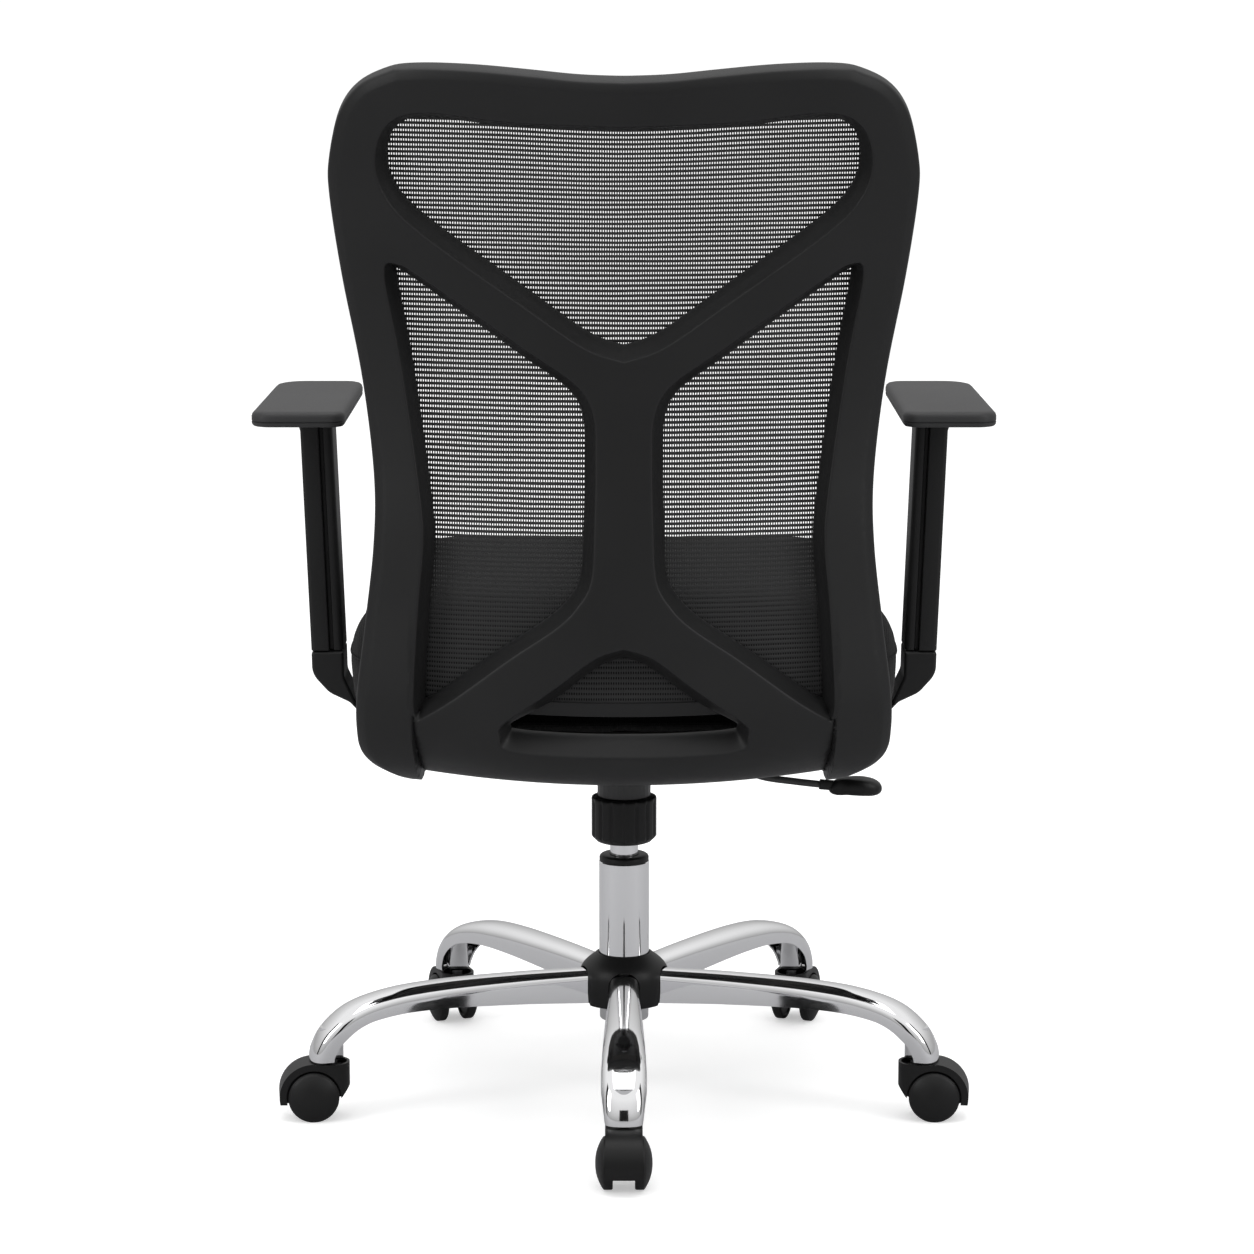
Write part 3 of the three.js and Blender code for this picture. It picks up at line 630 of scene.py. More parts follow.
def leg_mesh():
    """One leg along X, lofted over sections that widen and get shallower towards the caster."""
    path = evenly(curve(LEG_CURVE, 400), 5.5, closed=False)
    rings = []
    for i, (r, z) in enumerate(path):
        t = i / (len(path) - 1)
        along = path[min(i + 1, len(path) - 1)] - path[max(i - 1, 0)]
        along /= np.linalg.norm(along)
        if i == len(path) - 1:
            along = np.array([0, -1.0])
        inward = np.array([along[1], -along[0]])
        half = (28 + 15 * min(1, t / 0.8) - 7 * max(0, (t - 0.86) / 0.14)) / 2
        deep = 33 - 13 * min(1, t / 0.75)
        section = leg_arch(half, 0, deep) + leg_arch(half - LEG_WALL, LEG_WALL, deep)[::-1]
        rings.append([(r + inward[0] * down, x, z + inward[1] * down) for x, down in section])
    return loft("leg", rings)


def base():
    leg = leg_mesh()
    wall = [(5.8, 60.3), (10.6, 60.3), (11.5, 61.2), (11.5, 92), (5.8, 92)]
    socket = lathe("socket", wall, 40, STEM_CIRCLE)
    for i in range(LEGS):
        angle = 90 + 360 * i / LEGS
        node = f"leg_{i + 1}"
        made = spun(copy_of(leg, node + "_pressing"), angle)
        finish_piece(made, CHROME, "base", [node], angle=50)
        tube = spun(copy_of(socket, node + "_socket"), angle)
        finish_piece(tube, CHROME, "base", angle=50)
    bpy.data.objects.remove(leg)
    bpy.data.objects.remove(socket)
    hub_cover()
    column = [
        (6, 80), (21, 80), (22, 76), (24, 76), (24.4, 77), (COLUMN, 135), (COLUMN, COLUMN_TOP - 0.5),
        (COLUMN - 0.5, COLUMN_TOP), (22.5, COLUMN_TOP), (22.5, 84), (6, 84),
    ]
    finish_piece(lathe("lift_column_tube", column, 96), CHROME, "base", ["lift_column"])
    ring = [
        (14.3, 195), (22.2, 195), (22.2, COLUMN_TOP + 0.3), (24.4, COLUMN_TOP + 0.3),
        (24.6, COLUMN_TOP + 0.9), (24.6, RING_TOP - 2.4), (24, RING_TOP - 1), (22.6, RING_TOP),
        (15.4, RING_TOP), (14.3, RING_TOP - 1),
    ]
    cap = lathe("lift_guide_cap", ring, 96)
    finish_piece(cap, BASE_PLASTIC, "base", ["lift_guide_ring"])
    tube = [
        (0, 150), (5.3, 150), (13.4, 150), (TUBE, 150.6), (TUBE, 300), (13, 338), (0, 338),
    ]
    finish_piece(lathe("lift_inner_tube", tube, 64), CHROME, "lift", ["lift_pressure_tube"])


def hub_cover():
    """The dome over the hub, with an arch over each leg."""
    profile = [
        (29.5, 94), (42.6, 94), (43.6, 94.8), (44.4, 98), (45, 108), (45, 118), (44.6, 123),
        (43.2, 127.5), (40.8, 131.5), (37.5, 135), (33.5, 138.4), (30, 141), (28, 142.8), (26.6, 143.4),
        (25.6, 143), (25.4, 142), (25.4, 134), (29.5, 134),
    ]
    cover = lathe("hub_cover_dome", profile, 120)
    arch = rounded([(-15.6, 80, 0), (15.6, 80, 0), (15.6, 130.8, 14), (-15.6, 130.8, 14)], 10)
    for i in range(LEGS):
        tool = loft("arch", [[(x, a, z) for a, z in arch] for x in (29, 90)])
        boolean(cover, spun(tool, 90 + 360 * i / LEGS))
    finish_piece(cover, BASE_PLASTIC, "base", ["hub_cover"], bevel=0.8, segments=3)


# ---------------------------------------------------------------- mechanism
def knob():
    flutes = 16

    def ribbed(angle, z):
        fade = min(1, max(0, (KNOB_HIGH - 2 - z) / 2)) * min(1, max(0, (z - KNOB_LOW - 4) / 3))
        wave = 0.5 + 0.5 * math.cos(flutes * angle)
        return 1 - 0.04 * fade * wave**6

    heights = np.linspace(KNOB_LOW + 6, KNOB_HIGH - 2.5, 14)
    profile = [
        (0, KNOB_LOW + 2), (20, KNOB_LOW + 2), (21, KNOB_LOW), (25.5, KNOB_LOW), (27, KNOB_LOW + 0.6),
        (31, KNOB_LOW + 4.6), *[(KNOB_RADIUS, z) for z in heights],
        (KNOB_RADIUS - 0.5, KNOB_HIGH - 1), (KNOB_RADIUS - 2.5, KNOB_HIGH), (0, KNOB_HIGH),
    ]
    made = lathe("tension_knob_grip", profile, flutes * 16, 0, KNOB_Y, ribbed)
    finish_piece(made, BASE_PLASTIC, "knob", ["tension_knob"], angle=50)


LEVER_PATH = [
    (8, 348), (-30, 348), (-78, 346), (-108, 335), (-137, 323.5), (-170, 318.5), (-196, 315.5),
]
PADDLE = [
    (-203, 1), (-206, -6), (-219, -13), (-237, -15), (-251, -9), (-256, 2), (-251, 13), (-239, 17.5),
    (-226, 15), (-216, 9.5), (-207, 7.5),
]


def lever():
    low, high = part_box("lever_rod")
    y = ((low.y + high.y) / 2 - AXIS.y) / MM
    path = curve(LEVER_PATH, 60)
    made = sweep("lever_bar", [(x, y, z) for x, z in path], circle(3.5))
    finish_piece(made, COATED, "lever", ["lever_rod"])
    edge = evenly(curve(PADDLE, 200, closed=True), 2)
    middle = edge.mean(0)
    half, crown = 8.2, []
    for a in np.linspace(-math.pi / 2, math.pi / 2, 15):
        spread = 0.35 + 0.65 * math.cos(a) ** 0.55
        crown.append((spread, half * math.sin(a)))
    rings = []
    for spread, up in crown:
        flat = middle + (edge - middle) * spread
        rings.append([(x, y + d, 314.3 + up - 0.0035 * (x - middle[0]) ** 2) for x, d in flat])
    grip = loft("lever_grip", rings)
    collar = sweep("collar", [(-194, y, 315.8), (-197, y, 315.5), (-214, y, 314)], circle(5.2))
    boolean(grip, collar, "UNION")
    finish_piece(grip, BASE_PLASTIC, "lever", ["lever_paddle"], bevel=0.6)


def spring():
    """The tension spring, from just over its seat up to just under the tilt plate's sheet."""
    wire, coil = 2.2, 17
    plate, clear = 3, 0.4
    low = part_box("spring_seat")[1].z / MM + 2.5
    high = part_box("tilt_plate")[1].z / MM - plate - wire - clear
    turns, steps = 5, 160
    rings = []
    for k in range(steps + 1):
        t = k / steps
        a = 2 * math.pi * turns * t
        out = np.array([math.cos(a), math.sin(a), 0])
        centre = np.array([0, KNOB_Y, low + (high - low) * t]) + coil * out
        rings.append([centre + out * u + np.array([0, 0, 1]) * v for u, v in circle(wire, 12)])
    made = loft("tension_coil", rings)
    finish_piece(made, STEEL, "lift", ["tension_spring"])


# ---------------------------------------------------------------- the back
BACK_EDGE = [
    (200, 0), (200, 70), (203, 104), (224, 135), (247, 168), (252, 195), (251, 235), (243, 298),
    (234, 375), (233, 440), (243, 530), (260, 625), (270, 705), (269, 742), (258, 785), (238, 811),
    (206, 826),
]
TOP_EDGE = [(206, 826), (175, 827.5), (130, 826), (80, 821.5), (40, 817.5), (0, 816)]
FEET = [(0, 96), (118, 96), (132, 78), (132, 0), (200, 0)]
TOP_WINDOW = [
    (0, 774), (100, 778), (180, 786), (213, 774), (225, 741), (216, 706), (184, 672), (91, 604),
    (36, 566), (0, 553),
]
SLOT_WINDOW = [
    (0, 285), (26, 276), (60, 252), (110, 218), (115, 204), (108, 190), (60, 187), (0, 187),
]
SIDE_WINDOW = [
    (208, 641), (219, 630), (205, 545), (188, 420), (186, 375), (191, 319), (196, 240), (194, 214),
    (185, 218), (110, 273), (64, 305), (44, 325), (31, 350), (28, 400), (27, 460), (29, 502),
    (45, 530), (92, 563), (178, 623),
]
BEVEL_OUT = 9.5 # width of the slope along the frame's outer edge
SEAM = [(199, 216), (198.5, 200), (197, 180), (193, 140), (191, 96)] # beside each rail's heel


def smoothstep(value, low, high):
    w = np.clip((value - low) / (high - low), 0, 1)
    return w * w * (3 - 2 * w)


def on_back(points, t):
    """Points (x, s) of the back's surface, t in from the rear face, in design millimetres."""
    p = np.atleast_2d(np.array(points, float))
    t = np.broadcast_to(t, len(p))
    y = np.full(len(p), BACK_START[0])
    z = np.full(len(p), BACK_START[1])
    heading = np.zeros(len(p))
    left = p[:, 1].copy()
    for length, turn in BACK_ARCS:
        run = np.clip(left, 0, length)
        bend = math.radians(turn) * run / length
        chord = run * np.sinc(bend / 2 / math.pi)
        y += chord * np.cos(heading + bend / 2)
        z += chord * np.sin(heading + bend / 2)
        heading += bend
        left -= run
    across = np.maximum(0, 1 - (p[:, 0] / 195) ** 2)
    along = smoothstep(p[:, 1], 40, 100) * (1 - smoothstep(p[:, 1], 190, 280))
    y = y - t * np.sin(heading) - p[:, 0] ** 2 / (2 * BACK_HOLLOW)
    z = z + t * np.cos(heading) - HEEL_DROOP * across * along
    return np.stack([p[:, 0], y, z], 1)


def outer_loop(spacing):
    """The frame's whole outer edge, in x and s."""
    side = curve(BACK_EDGE, 240)
    top = curve(TOP_EDGE, 60)[1:]
    half = np.vstack([np.array(FEET[:-1], float), side, top])
    return evenly(mirrored(half), spacing)


def window_loops(spacing):
    side = curve(SIDE_WINDOW, 300, closed=True)
    loops = [
        mirrored(curve(TOP_WINDOW, 160)),
        mirrored(curve(SLOT_WINDOW, 100)),
        side,
        (side * [-1, 1])[::-1],
    ]
    return [evenly(loop, spacing) for loop in loops]


def distance_to(points, loops):
    """Distance of each point from the nearest of some closed loops."""
    best = np.full(len(points), 1e9)
    for loop in loops:
        a, b = loop, np.roll(loop, -1, 0)
        d = b - a
        length = np.maximum((d**2).sum(1), 1e-12)
        for k in range(0, len(points), 2000):
            p = points[k : k + 2000, None, :]
            w = np.clip(((p - a) * d).sum(2) / length, 0, 1)
            gap = np.linalg.norm(p - (a + w[..., None] * d), axis=2).min(1)
            best[k : k + 2000] = np.minimum(best[k : k + 2000], gap)
    return best


def inside(points, loop):
    """True for each point inside a closed loop."""
    x, y = points[:, 0], points[:, 1]
    hit = np.zeros(len(points), bool)
    for (ax, ay), (bx, by) in zip(loop, np.roll(loop, -1, 0)):
        if ay == by:
            continue
        cross = (ay > y) != (by > y)
        hit ^= cross & (x < (bx - ax) * (y - ay) / (by - ay) + ax)
    return hit


def filled(loops, spacing, extra=()):
    """Triangles over the region inside the first loop and outside the others.

    Gives the points, the faces, and the points' numbers around each loop.
    """
    edges, points = [], []
    for loop in loops:
        first = len(points)
        points += [tuple(p) for p in loop]
        edges += [(first + k, first + (k + 1) % len(loop)) for k in range(len(loop))]
    low, high = np.min(loops[0], 0), np.max(loops[0], 0)
    xs = np.arange(low[0], high[0], spacing)
    ys = np.arange(low[1], high[1], spacing * 0.87)
    grid = np.array([(x + (i % 2) * spacing / 2, y) for i, y in enumerate(ys) for x in xs])
    more = [grid]
    more += [np.array(e) for e in extra]
    free = np.vstack(more)
    keep = inside(free, loops[0])
    for hole in loops[1:]:
        keep &= ~inside(free, hole)
    free = free[keep]
    gap = distance_to(free, loops)
    limits = np.concatenate(
        [np.full(len(grid), spacing * 0.7), *[np.full(len(e), 0.5) for e in more[1:]]]
    )[keep]
    free = free[gap > limits]
    points += [tuple(p) for p in free]
    out = delaunay_2d_cdt([Vector(p) for p in points], edges, [], 0, 1e-5)
    flat = np.array([tuple(v) for v in out[0]])
    faces = np.array(out[2])
    source = {old: new for new, olds in enumerate(out[3]) for old in olds}
    middle = flat[faces].mean(1)
    good = inside(middle, loops[0])
    for hole in loops[1:]:
        good &= ~inside(middle, hole)
    ends = np.cumsum([0] + [len(loop) for loop in loops])
    rims = [[source[k] for k in range(a, b)] for a, b in zip(ends, ends[1:])]
    return flat, faces[good], rims


def fillet(distance, radius):
    """How far a round edge of some radius falls away at a distance from the edge."""
    d = np.clip(distance, 0, radius)
    return radius - np.sqrt(radius**2 - (radius - d) ** 2)


def back_height(p, outer, windows):
    """The rear face's relief: round and sloped edges, and rails that stand proud of the brace."""
    from_out = distance_to(p, [outer])
    from_window = distance_to(p, windows)
    slope = 4.2 * np.clip(1 - from_out / BEVEL_OUT, 0, 1) ** 1.3
    t = np.maximum(slope + fillet(from_out, 2.0), fillet(from_window, 2.6))
    seam = np.array(SEAM, float)[::-1]
    seam_x = np.interp(p[:, 1], seam[:, 1], seam[:, 0])
    beyond = np.abs(p[:, 0]) - seam_x
    proud = 3 * (1 - smoothstep(p[:, 1], 230, 330)) + 7 * (1 - smoothstep(p[:, 1], 150, 215))
    raised = proud * smoothstep(beyond, -1.2, 1.2)
    groove = 1.5 * (p[:, 1] < 216) * np.clip(1 - np.abs(beyond + 1.6) / 1.1, 0, 1)
    return t - raised + groove


def back_frame():
    outer = outer_loop(4.0)
    windows = window_loops(3.2)
    rings = []
    for loop, sign in [(outer, 1)] + [(w, -1) for w in windows]:
        for d in (0.7, 1.5, 2.6, 5.0, 8.0, BEVEL_OUT, 13):
            rings.append(inset(loop, sign * d))
    seam = evenly(SEAM, 3.5, closed=False)
    for offset in (-3, -1.8, -0.6, 0.4, 1.4, 3):
        for side in (-1, 1):
            rings.append((seam + [offset, 0]) * [side, 1])
    rear, faces, rims = filled([outer, *windows], 6.5, rings)
    verts = [tuple(v) for v in on_back(rear, back_height(rear, outer, windows))]
    faces = [tuple(f) for f in faces]

    def strip(loop, last, steps):
        """Walls from a loop of the rear face towards the front, as (inset, depth) steps."""
        moved = loop
        for distance, depth in steps:
            moved = relaxed(inset(loop, distance)) if distance else loop
            first = len(verts)
            verts.extend(tuple(v) for v in on_back(moved, depth))
            ring = list(range(first, first + len(loop)))
            for k in range(len(loop)):
                n = (k + 1) % len(loop)
                faces.append((last[k], last[n], ring[n], ring[k]))
            last = ring
        return moved, last

    front_loops, front_rings = [], []
    moved, ring = strip(outer, rims[0], [(0, 9), (0, 20), (0.8, BACK_THICK)])
    front_loops.append(moved)
    front_rings.append(ring)
    for window, rim in zip(windows, rims[1:]):
        moved, ring = strip(window, rim, [(1.2, 5), (4.5, 12), (8.5, 18), (9.5, BACK_THICK)])
        front_loops.append(moved)
        front_rings.append(ring)
    front, front_faces, front_rims = filled(front_loops, 16)
    place_of = list(range(len(verts), len(verts) + len(front)))
    verts.extend(tuple(v) for v in on_back(front, BACK_THICK))
    for rim, ring in zip(front_rims, front_rings):
        for new, old in zip(rim, ring):
            place_of[new] = old
    faces += [tuple(place_of[i] for i in reversed(f)) for f in front_faces]
    made = obj("back_frame_moulding", verts, faces)
    finish_piece(made, FRAME_PLASTIC, "seat", ["back_frame"], angle=50)


def relaxed(loop, rounds=6):
    """A loop smoothed where an inset has folded it."""
    p = np.array(loop, float)
    for _ in range(rounds):
        p = 0.5 * p + 0.25 * (np.roll(p, 1, 0) + np.roll(p, -1, 0))
    return p


def mesh_edge(distance, spacing):
    """The edge of the mesh, some way in from the frame's outer edge."""
    side = np.array([p for p in curve(BACK_EDGE, 300) if p[1] > MESH_LOW + 12])
    top = curve(TOP_EDGE, 60)[1:]
    corner = side[0][0]
    bottom = [(0, MESH_LOW), (corner - 14, MESH_LOW), (corner - 3, MESH_LOW + 5)]
    half = np.vstack([bottom, side, top])
    return inset(evenly(mirrored(half), spacing), distance)


def edging():
    """The plastic strip that holds the mesh, behind the frame's front face."""
    front = BACK_THICK + MESH_GAP
    section = [
        (6, 0.3), (6.3, 0), (21.7, 0), (22, 0.3), (22, 3.2), (21, 4.6), (19, 5), (9, 5), (7, 4.6),
        (6, 3.2),
    ]
    rings = []
    for distance, depth in section:
        rings.append(on_back(mesh_edge(distance, 7.0), front + depth))
    around = [[rings[k][i] for k in range(len(section))] for i in range(len(rings[0]))]
    made = loft("mesh_edging", around, closed_path=True)
    finish_piece(made, FRAME_PLASTIC, "seat", ["mesh_ring"], angle=50)


def mesh_sheet():
    """The stretched knit, with a ridge for each knitted row."""
    pitch, per_row, columns = 4.6, 4, 72
    side = curve(BACK_EDGE, 600)
    low, high = MESH_LOW + 16, SHOULDER - 18
    rows = int((high - low) / pitch * per_row)
    verts, uvs, faces = [], [], []
    for i in range(rows + 1):
        s = low + (high - low) * i / rows
        half = np.interp(s, side[:, 1], side[:, 0]) - 20
        u = np.linspace(-1, 1, columns + 1)
        dip = TOP_DIP * (s / SHOULDER) ** 8 * np.exp(-((u / 0.42) ** 2))
        p = np.stack([u * half, s - dip], 1)
        ridge = 0.3 * math.cos(2 * math.pi * i / per_row)
        verts += [tuple(v) for v in on_back(p, BACK_THICK + MESH_GAP + 2.2 + ridge)]
        uvs += [(0.5 + x * MM, y * MM) for x, y in np.stack([u * half, np.full(len(u), s)], 1)]
    for i in range(rows):
        for j in range(columns):
            a = i * (columns + 1) + j
            faces.append((a, a + 1, a + columns + 2, a + columns + 1))
    data = bpy.data.meshes.new("mesh_knit")
    data.from_pydata(place(verts), [], faces)
    layer = data.uv_layers.new(name="metres")
    for loop in data.loops:
        layer.data[loop.index].uv = uvs[loop.vertex_index]
    made = bpy.data.objects.new("mesh_knit", data)
    bpy.context.scene.collection.objects.link(made)
    finish_piece(made, KNIT, "seat", ["mesh_panel"], angle=180)


# ---------------------------------------------------------------- seat
def seat_ring(shrink, z, count=160):
    lo, hi = SEAT_LOW, SEAT_HIGH
    half = (hi.x - lo.x) / 2 / MM
    front, rear = (lo.y - AXIS.y) / MM, (hi.y - AXIS.y) / MM
    corners = [(half, rear, 100), (-half, rear, 100), (-half + 8, front, 75), (half - 8, front, 75)]
    outline = evenly(rounded(corners, 16), 4)
    outline = evenly(outline, 2 * math.pi * 250 / count)
    middle = (front + rear) / 2
    depth = rear - middle
    narrower, shorter = (half - shrink) / half, (depth - shrink) / depth
    return [(x * narrower, middle + (y - middle) * shorter, z) for x, y in outline]


def seat():
    low = SEAT_LOW.z / MM
    top = SEAT_HIGH.z / MM
    steps = [
        (22, low), (9, low + 5), (3, low + 14), (0.5, low + 30), (0, low + 50), (0, low + 70),
        (3, low + 84), (8, low + 95), (17, low + 106), (32, top - 1), (60, top + 5), (110, top + 9),
        (170, top + 11), (225, top + 12),
    ]
    rings = [seat_ring(shrink, z) for shrink, z in steps]
    made = loft("seat_cushion_cover", rings)
    bake_cushion(made, low, top)
    finish_piece(made, SEAT_CLOTH, "seat", ["seat_cushion"], angle=180)
    seam(made, low + 66)


def bake_cushion(piece, low, top):
    """Puffs the cushion up by a cloth simulation, then keeps every point near where it began."""
    remesh = piece.modifiers.new("even", "REMESH")
    remesh.mode = "VOXEL"
    remesh.voxel_size = 0.0065
    bake(piece)
    start = np.array([v.co for v in piece.data.vertices])
    cloth = piece.modifiers.new("puff", "CLOTH")
    settings = cloth.settings
    settings.use_pressure = True
    settings.uniform_pressure_force = 4.0
    settings.effector_weights.gravity = 0
    settings.quality = 5
    settings.mass = 0.4
    settings.tension_stiffness = 30
    settings.compression_stiffness = 30
    settings.bending_stiffness = 3
    scene = bpy.context.scene
    for k in range(1, 21):
        scene.frame_set(k)
    bake(piece)
    scene.frame_set(1)
    now = np.array([v.co for v in piece.data.vertices])
    move = now - start
    size = np.linalg.norm(move, axis=1)
    cap = 0.009
    move *= np.minimum(1, cap / np.maximum(size, 1e-9))[:, None]
    now = start + move
    now[:, 2] = np.clip(now[:, 2], low * MM, (top + 16) * MM)
    piece.data.vertices.foreach_set("co", now.astype(np.float32).ravel())
    piece.data.update()
    relax = piece.modifiers.new("relax", "SMOOTH")
    relax.factor = 0.5
    relax.iterations = 3
    bake(piece)
    finer = piece.modifiers.new("finer", "SUBSURF")
    finer.levels = finer.render_levels = 1
    bake(piece)


def seam(cover, z):
    """The stitched seam around the seat's side, a cord half sunk in the cover."""
    tree = BVHTree.FromObject(cover, bpy.context.evaluated_depsgraph_get())
    path = []
    for p in seat_ring(-20.0, z, 260):
        start = Vector(place([p])[0])
        middle = Vector((AXIS.x, AXIS.y, start.z))
        hit = tree.ray_cast(start, middle - start)[0]
        path.append((hit - Vector((AXIS.x, AXIS.y, 0))) / MM)
    rings = []
    count = len(path)
    for i, p in enumerate(path):
        along = (path[(i + 1) % count] - path[i - 1]).normalized()
        out = Vector((along.y, -along.x, 0))
        rings.append([p + out * a + Vector((0, 0, b)) for a, b in circle(1.3, 10)])
    made = loft("seat_seam", rings, closed_path=True)
    finish_piece(made, SEAT_CLOTH, "seat", angle=60)


# ---------------------------------------------------------------- arms
ARM_HALF = 29.0
BRACKET = [
    (125, 388, 0), (125, 377, 0), (246, 377, 24), (270, 403, 12), (290, 412.5, 24), (306.5, 431, 22),
    (307, 453.7, 0), (275.5, 453.7, 0), (275, 428, 14), (263, 402, 12), (236, 388, 14),
]
PAD_PLAN = [(355, 128, 18), (265.5, 128, 14), (262, -127, 18), (348, -127, 30)]


def arm(side, label):
    """One T arm, drawn for the side x > 0 and mirrored for the other."""

    def mirror(points):
        return [(side * x, y, z) for x, y, z in points]

    outline = [(side * x, z) for x, z in rounded(BRACKET, 8)]
    bracket = prism(f"arm_bracket_{label}_cast", outline, -ARM_HALF, ARM_HALF, "Y")
    stands_for = [f"arm_bracket_{label}"]
    finish_piece(bracket, ARM_PLASTIC, "seat", stands_for, bevel=3, segments=4)

    section = rounded([
        (15.75, -ARM_HALF, 4), (15.75, ARM_HALF, 4), (-2.2, ARM_HALF, 1.2), (-2.2, ARM_HALF - 7, 1),
        (-6.2, ARM_HALF - 7, 1), (-6.2, ARM_HALF - 2.5, 1.2), (-15.75, ARM_HALF - 2.5, 5),
        (-15.75, -ARM_HALF, 4),
    ], 5)
    rings = []
    foot, head = SEAM_Z, PAD_LOW - 0.3
    for z in (foot, foot + 0.9, *np.linspace(foot + 4, head - 16, 6), head - 8, head - 3, head):
        t = (z - foot) / (head - foot)
        pinch = 0.96 if z == foot else 1
        flare = 8 * max(0, (z - head + 16) / 16) ** 2
        ring = [
            (291.25 + 8.75 * t + x * pinch + (flare if x > 8 else 0), y * pinch, z) for x, y in section
        ]
        rings.append(mirror(ring))
    post = loft(f"arm_post_{label}_tube", rings)
    finish_piece(post, ARM_PLASTIC, "seat", [f"arm_post_{label}"])

    plan = evenly(rounded(PAD_PLAN, 12), 4)
    low, top = PAD_LOW, PAD_HIGH
    steps = [
        (6, low), (2, low + 0.7), (0.5, low + 2.2), (0, low + 4.6), (0.9, low + 5), (0.9, low + 5.6),
        (0, low + 6), (0, top - 5), (0.9, top - 2.4), (3, top - 0.7), (6, top), (9, top + 0.1),
    ]
    rings = [mirror([(x, y, z) for x, y in inset(plan, d)]) for d, z in steps]
    pad = loft(f"arm_pad_{label}_top", rings)
    finish_piece(pad, PAD_PLASTIC, "seat", [f"arm_pad_{label}"], angle=50)


# ---------------------------------------------------------------- CAD nodes that stay
def carried_over():
    """CAD nodes whose shape is right keep it, and get a finished material."""
    looks = {
        "steel": STEEL, "black_steel": COATED, "plywood": WOOD, "black_plastic": BASE_PLASTIC,
        "chrome": CHROME, "pad_plastic": PAD_PLASTIC, "wheel_plastic": WHEEL_PLASTIC,
        "seat_fabric": SEAT_CLOTH, "mesh_fabric": KNIT,
    }
    for part in frame["record"]["subparts"]:
        node = frame["nodes"][part["node"]]
        if node.hide_render:
            continue
        node.data.materials.clear()
        node.data.materials.append(looks[part["material_slot"]])


# ---------------------------------------------------------------- studio
def studio():
    """A pale floor that shows near white, three soft lights and three black flags."""
    size = 6.0
    floor_glow = 0.42
    corners = [(-size, -size, 0), (size, -size, 0), (size, size, 0), (-size, size, 0)]
    floor = obj("studio_floor", corners, [(0, 1, 2, 3)], millimetres=False)
    n = Nodes("studio_floor")
    rays = n.add("ShaderNodeLightPath")
    pale = n.ramp(n.noise(1.5, 2), [(0.0, (0.84, 0.84, 0.84)), (1.0, (0.88, 0.88, 0.88))])
    mix = n.add("ShaderNodeMix", data_type="RGBA")
    n.join(rays.outputs["Is Glossy Ray"], mix.inputs["Factor"])
    n.join(pale, mix.inputs["A"])
    mix.inputs["B"].default_value = (0.42, 0.42, 0.43, 1)
    n.join(mix.outputs["Result"], n.shader.inputs["Base Color"])
    n.shader.inputs["Roughness"].default_value = 0.7
    n.shader.inputs["Specular IOR Level"].default_value = 0.1
    n.shader.inputs["Emission Color"].default_value = (1, 1, 1, 1)
    n.join(n.math("MULTIPLY", rays.outputs["Is Camera Ray"], floor_glow),
           n.shader.inputs["Emission Strength"])
    floor.data.materials.append(n.material)
    surroundings()
    softbox("top", (0, 0.2, 3.2), (0, 0, 0.5), (2.4, 2.4), 34)
    softbox("left", (2.6, 1.6, 1.9), (0, 0.1, 0.6), (1.0, 2.0), 22)
    softbox("right", (-2.6, 1.6, 1.9), (0, 0.1, 0.6), (1.0, 2.0), 22)
    for name, x, y, half_x, half_y in (
        ("camera", 0, 6, 0.9, 0.02), ("left", 3, 0.6, 0.02, 0.3), ("right", -3, 0.6, 0.02, 0.3),
    ):
        dark_card(name, (x - half_x, y - half_y), (x + half_x, y + half_y))
    camera()


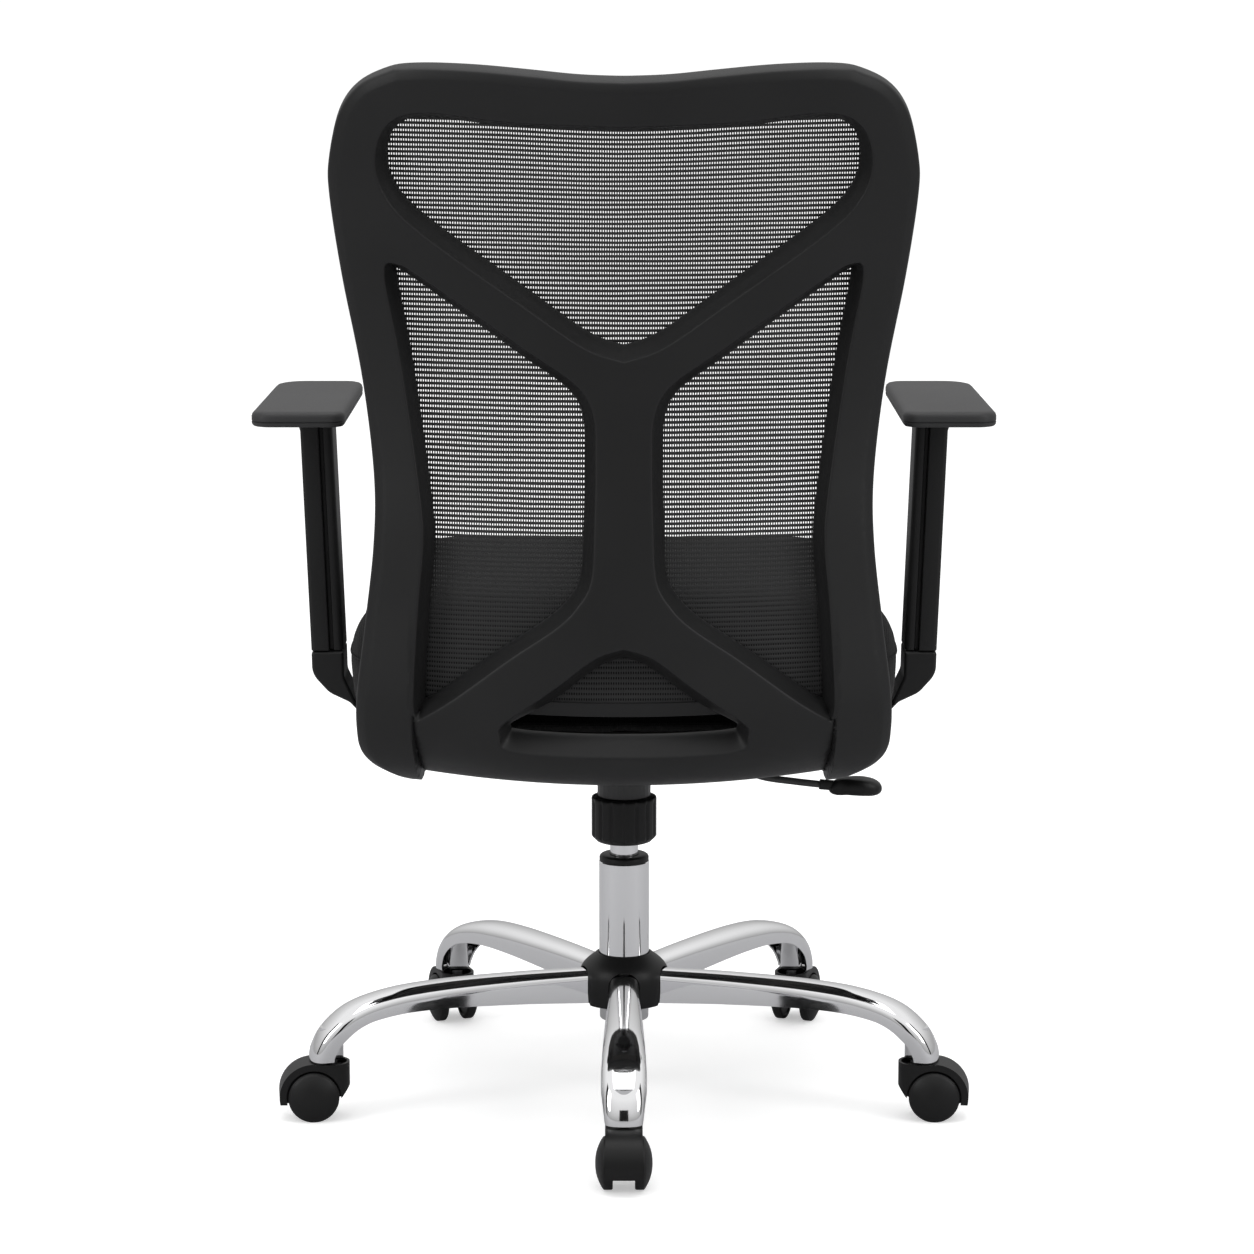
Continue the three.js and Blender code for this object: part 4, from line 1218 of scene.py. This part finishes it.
def surroundings():
    """White where the camera sees it, and a dimmer room that is brightest overhead for the rest."""
    world = bpy.data.worlds.new("studio")
    world.use_nodes = True
    tree = world.node_tree
    light = tree.nodes["Background"]
    light.inputs["Color"].default_value = (1, 1, 1, 1)
    rays = tree.nodes.new("ShaderNodeLightPath")
    coords = tree.nodes.new("ShaderNodeTexCoord")
    split = tree.nodes.new("ShaderNodeSeparateXYZ")
    height = tree.nodes.new("ShaderNodeMapRange")
    height.inputs["From Min"].default_value = 0.0
    height.inputs["From Max"].default_value = 0.7
    height.inputs["To Min"].default_value = 0.4
    height.inputs["To Max"].default_value = 0.95
    pick = tree.nodes.new("ShaderNodeMix")
    tree.links.new(coords.outputs["Generated"], split.inputs["Vector"])
    tree.links.new(split.outputs["Z"], height.inputs["Value"])
    tree.links.new(rays.outputs["Is Camera Ray"], pick.inputs["Factor"])
    tree.links.new(height.outputs["Result"], pick.inputs["A"])
    pick.inputs["B"].default_value = 1.05
    tree.links.new(pick.outputs["Result"], light.inputs["Strength"])
    bpy.context.scene.world = world
    bpy.context.scene.view_settings.view_transform = "Standard"


def dark_card(name, low, high):
    """A black flag that only the chrome sees, for the dark lines of a studio's reflections."""
    corners = [(low[0], low[1]), (high[0], low[1]), (high[0], high[1]), (low[0], high[1])]
    verts = [(x, y, z) for z in (0.05, 3.2) for x, y in corners]
    faces = [(0, 1, 2, 3), (4, 5, 6, 7)] + [(k, (k + 1) % 4, (k + 1) % 4 + 4, k + 4) for k in range(4)]
    card = obj(f"studio_flag_{name}", verts, faces, millimetres=False)
    n = Nodes("studio_flag")
    n.shader.inputs["Base Color"].default_value = (0.004, 0.004, 0.004, 1)
    n.shader.inputs["Roughness"].default_value = 1.0
    card.data.materials.append(n.material)
    card.visible_camera = False
    card.visible_diffuse = False
    card.visible_shadow = False
    card.visible_transmission = False


def softbox(name, place_at, target, size, power):
    light = bpy.data.lights.new(name, "AREA")
    light.shape = "RECTANGLE"
    light.size, light.size_y = size
    light.energy = power
    lamp = bpy.data.objects.new(name, light)
    lamp.location = place_at
    aim = Vector(target) - Vector(place_at)
    lamp.rotation_euler = aim.to_track_quat("-Z", "Y").to_euler()
    bpy.context.scene.collection.objects.link(lamp)


def camera():
    """Behind the chair, 4.04 m from its column and 1.21 m up, pitched 10.33 degrees down."""
    aside, away, up, pitch = -0.0029, 4.042, 1.210, 10.33
    data = bpy.data.cameras.new("camera")
    data.sensor_width = 36
    data.lens = 119.46
    cam = bpy.data.objects.new("camera", data)
    cam.location = (AXIS.x + aside, AXIS.y + away, up)
    cam.rotation_euler = (math.radians(90 - pitch), 0, math.pi)
    bpy.context.scene.collection.objects.link(cam)
    bpy.context.scene.camera = cam


casters()
base()
knob()
lever()
spring()
back_frame()
edging()
mesh_sheet()
seat()
arm(1, "left")
arm(-1, "right")
carried_over()
studio()
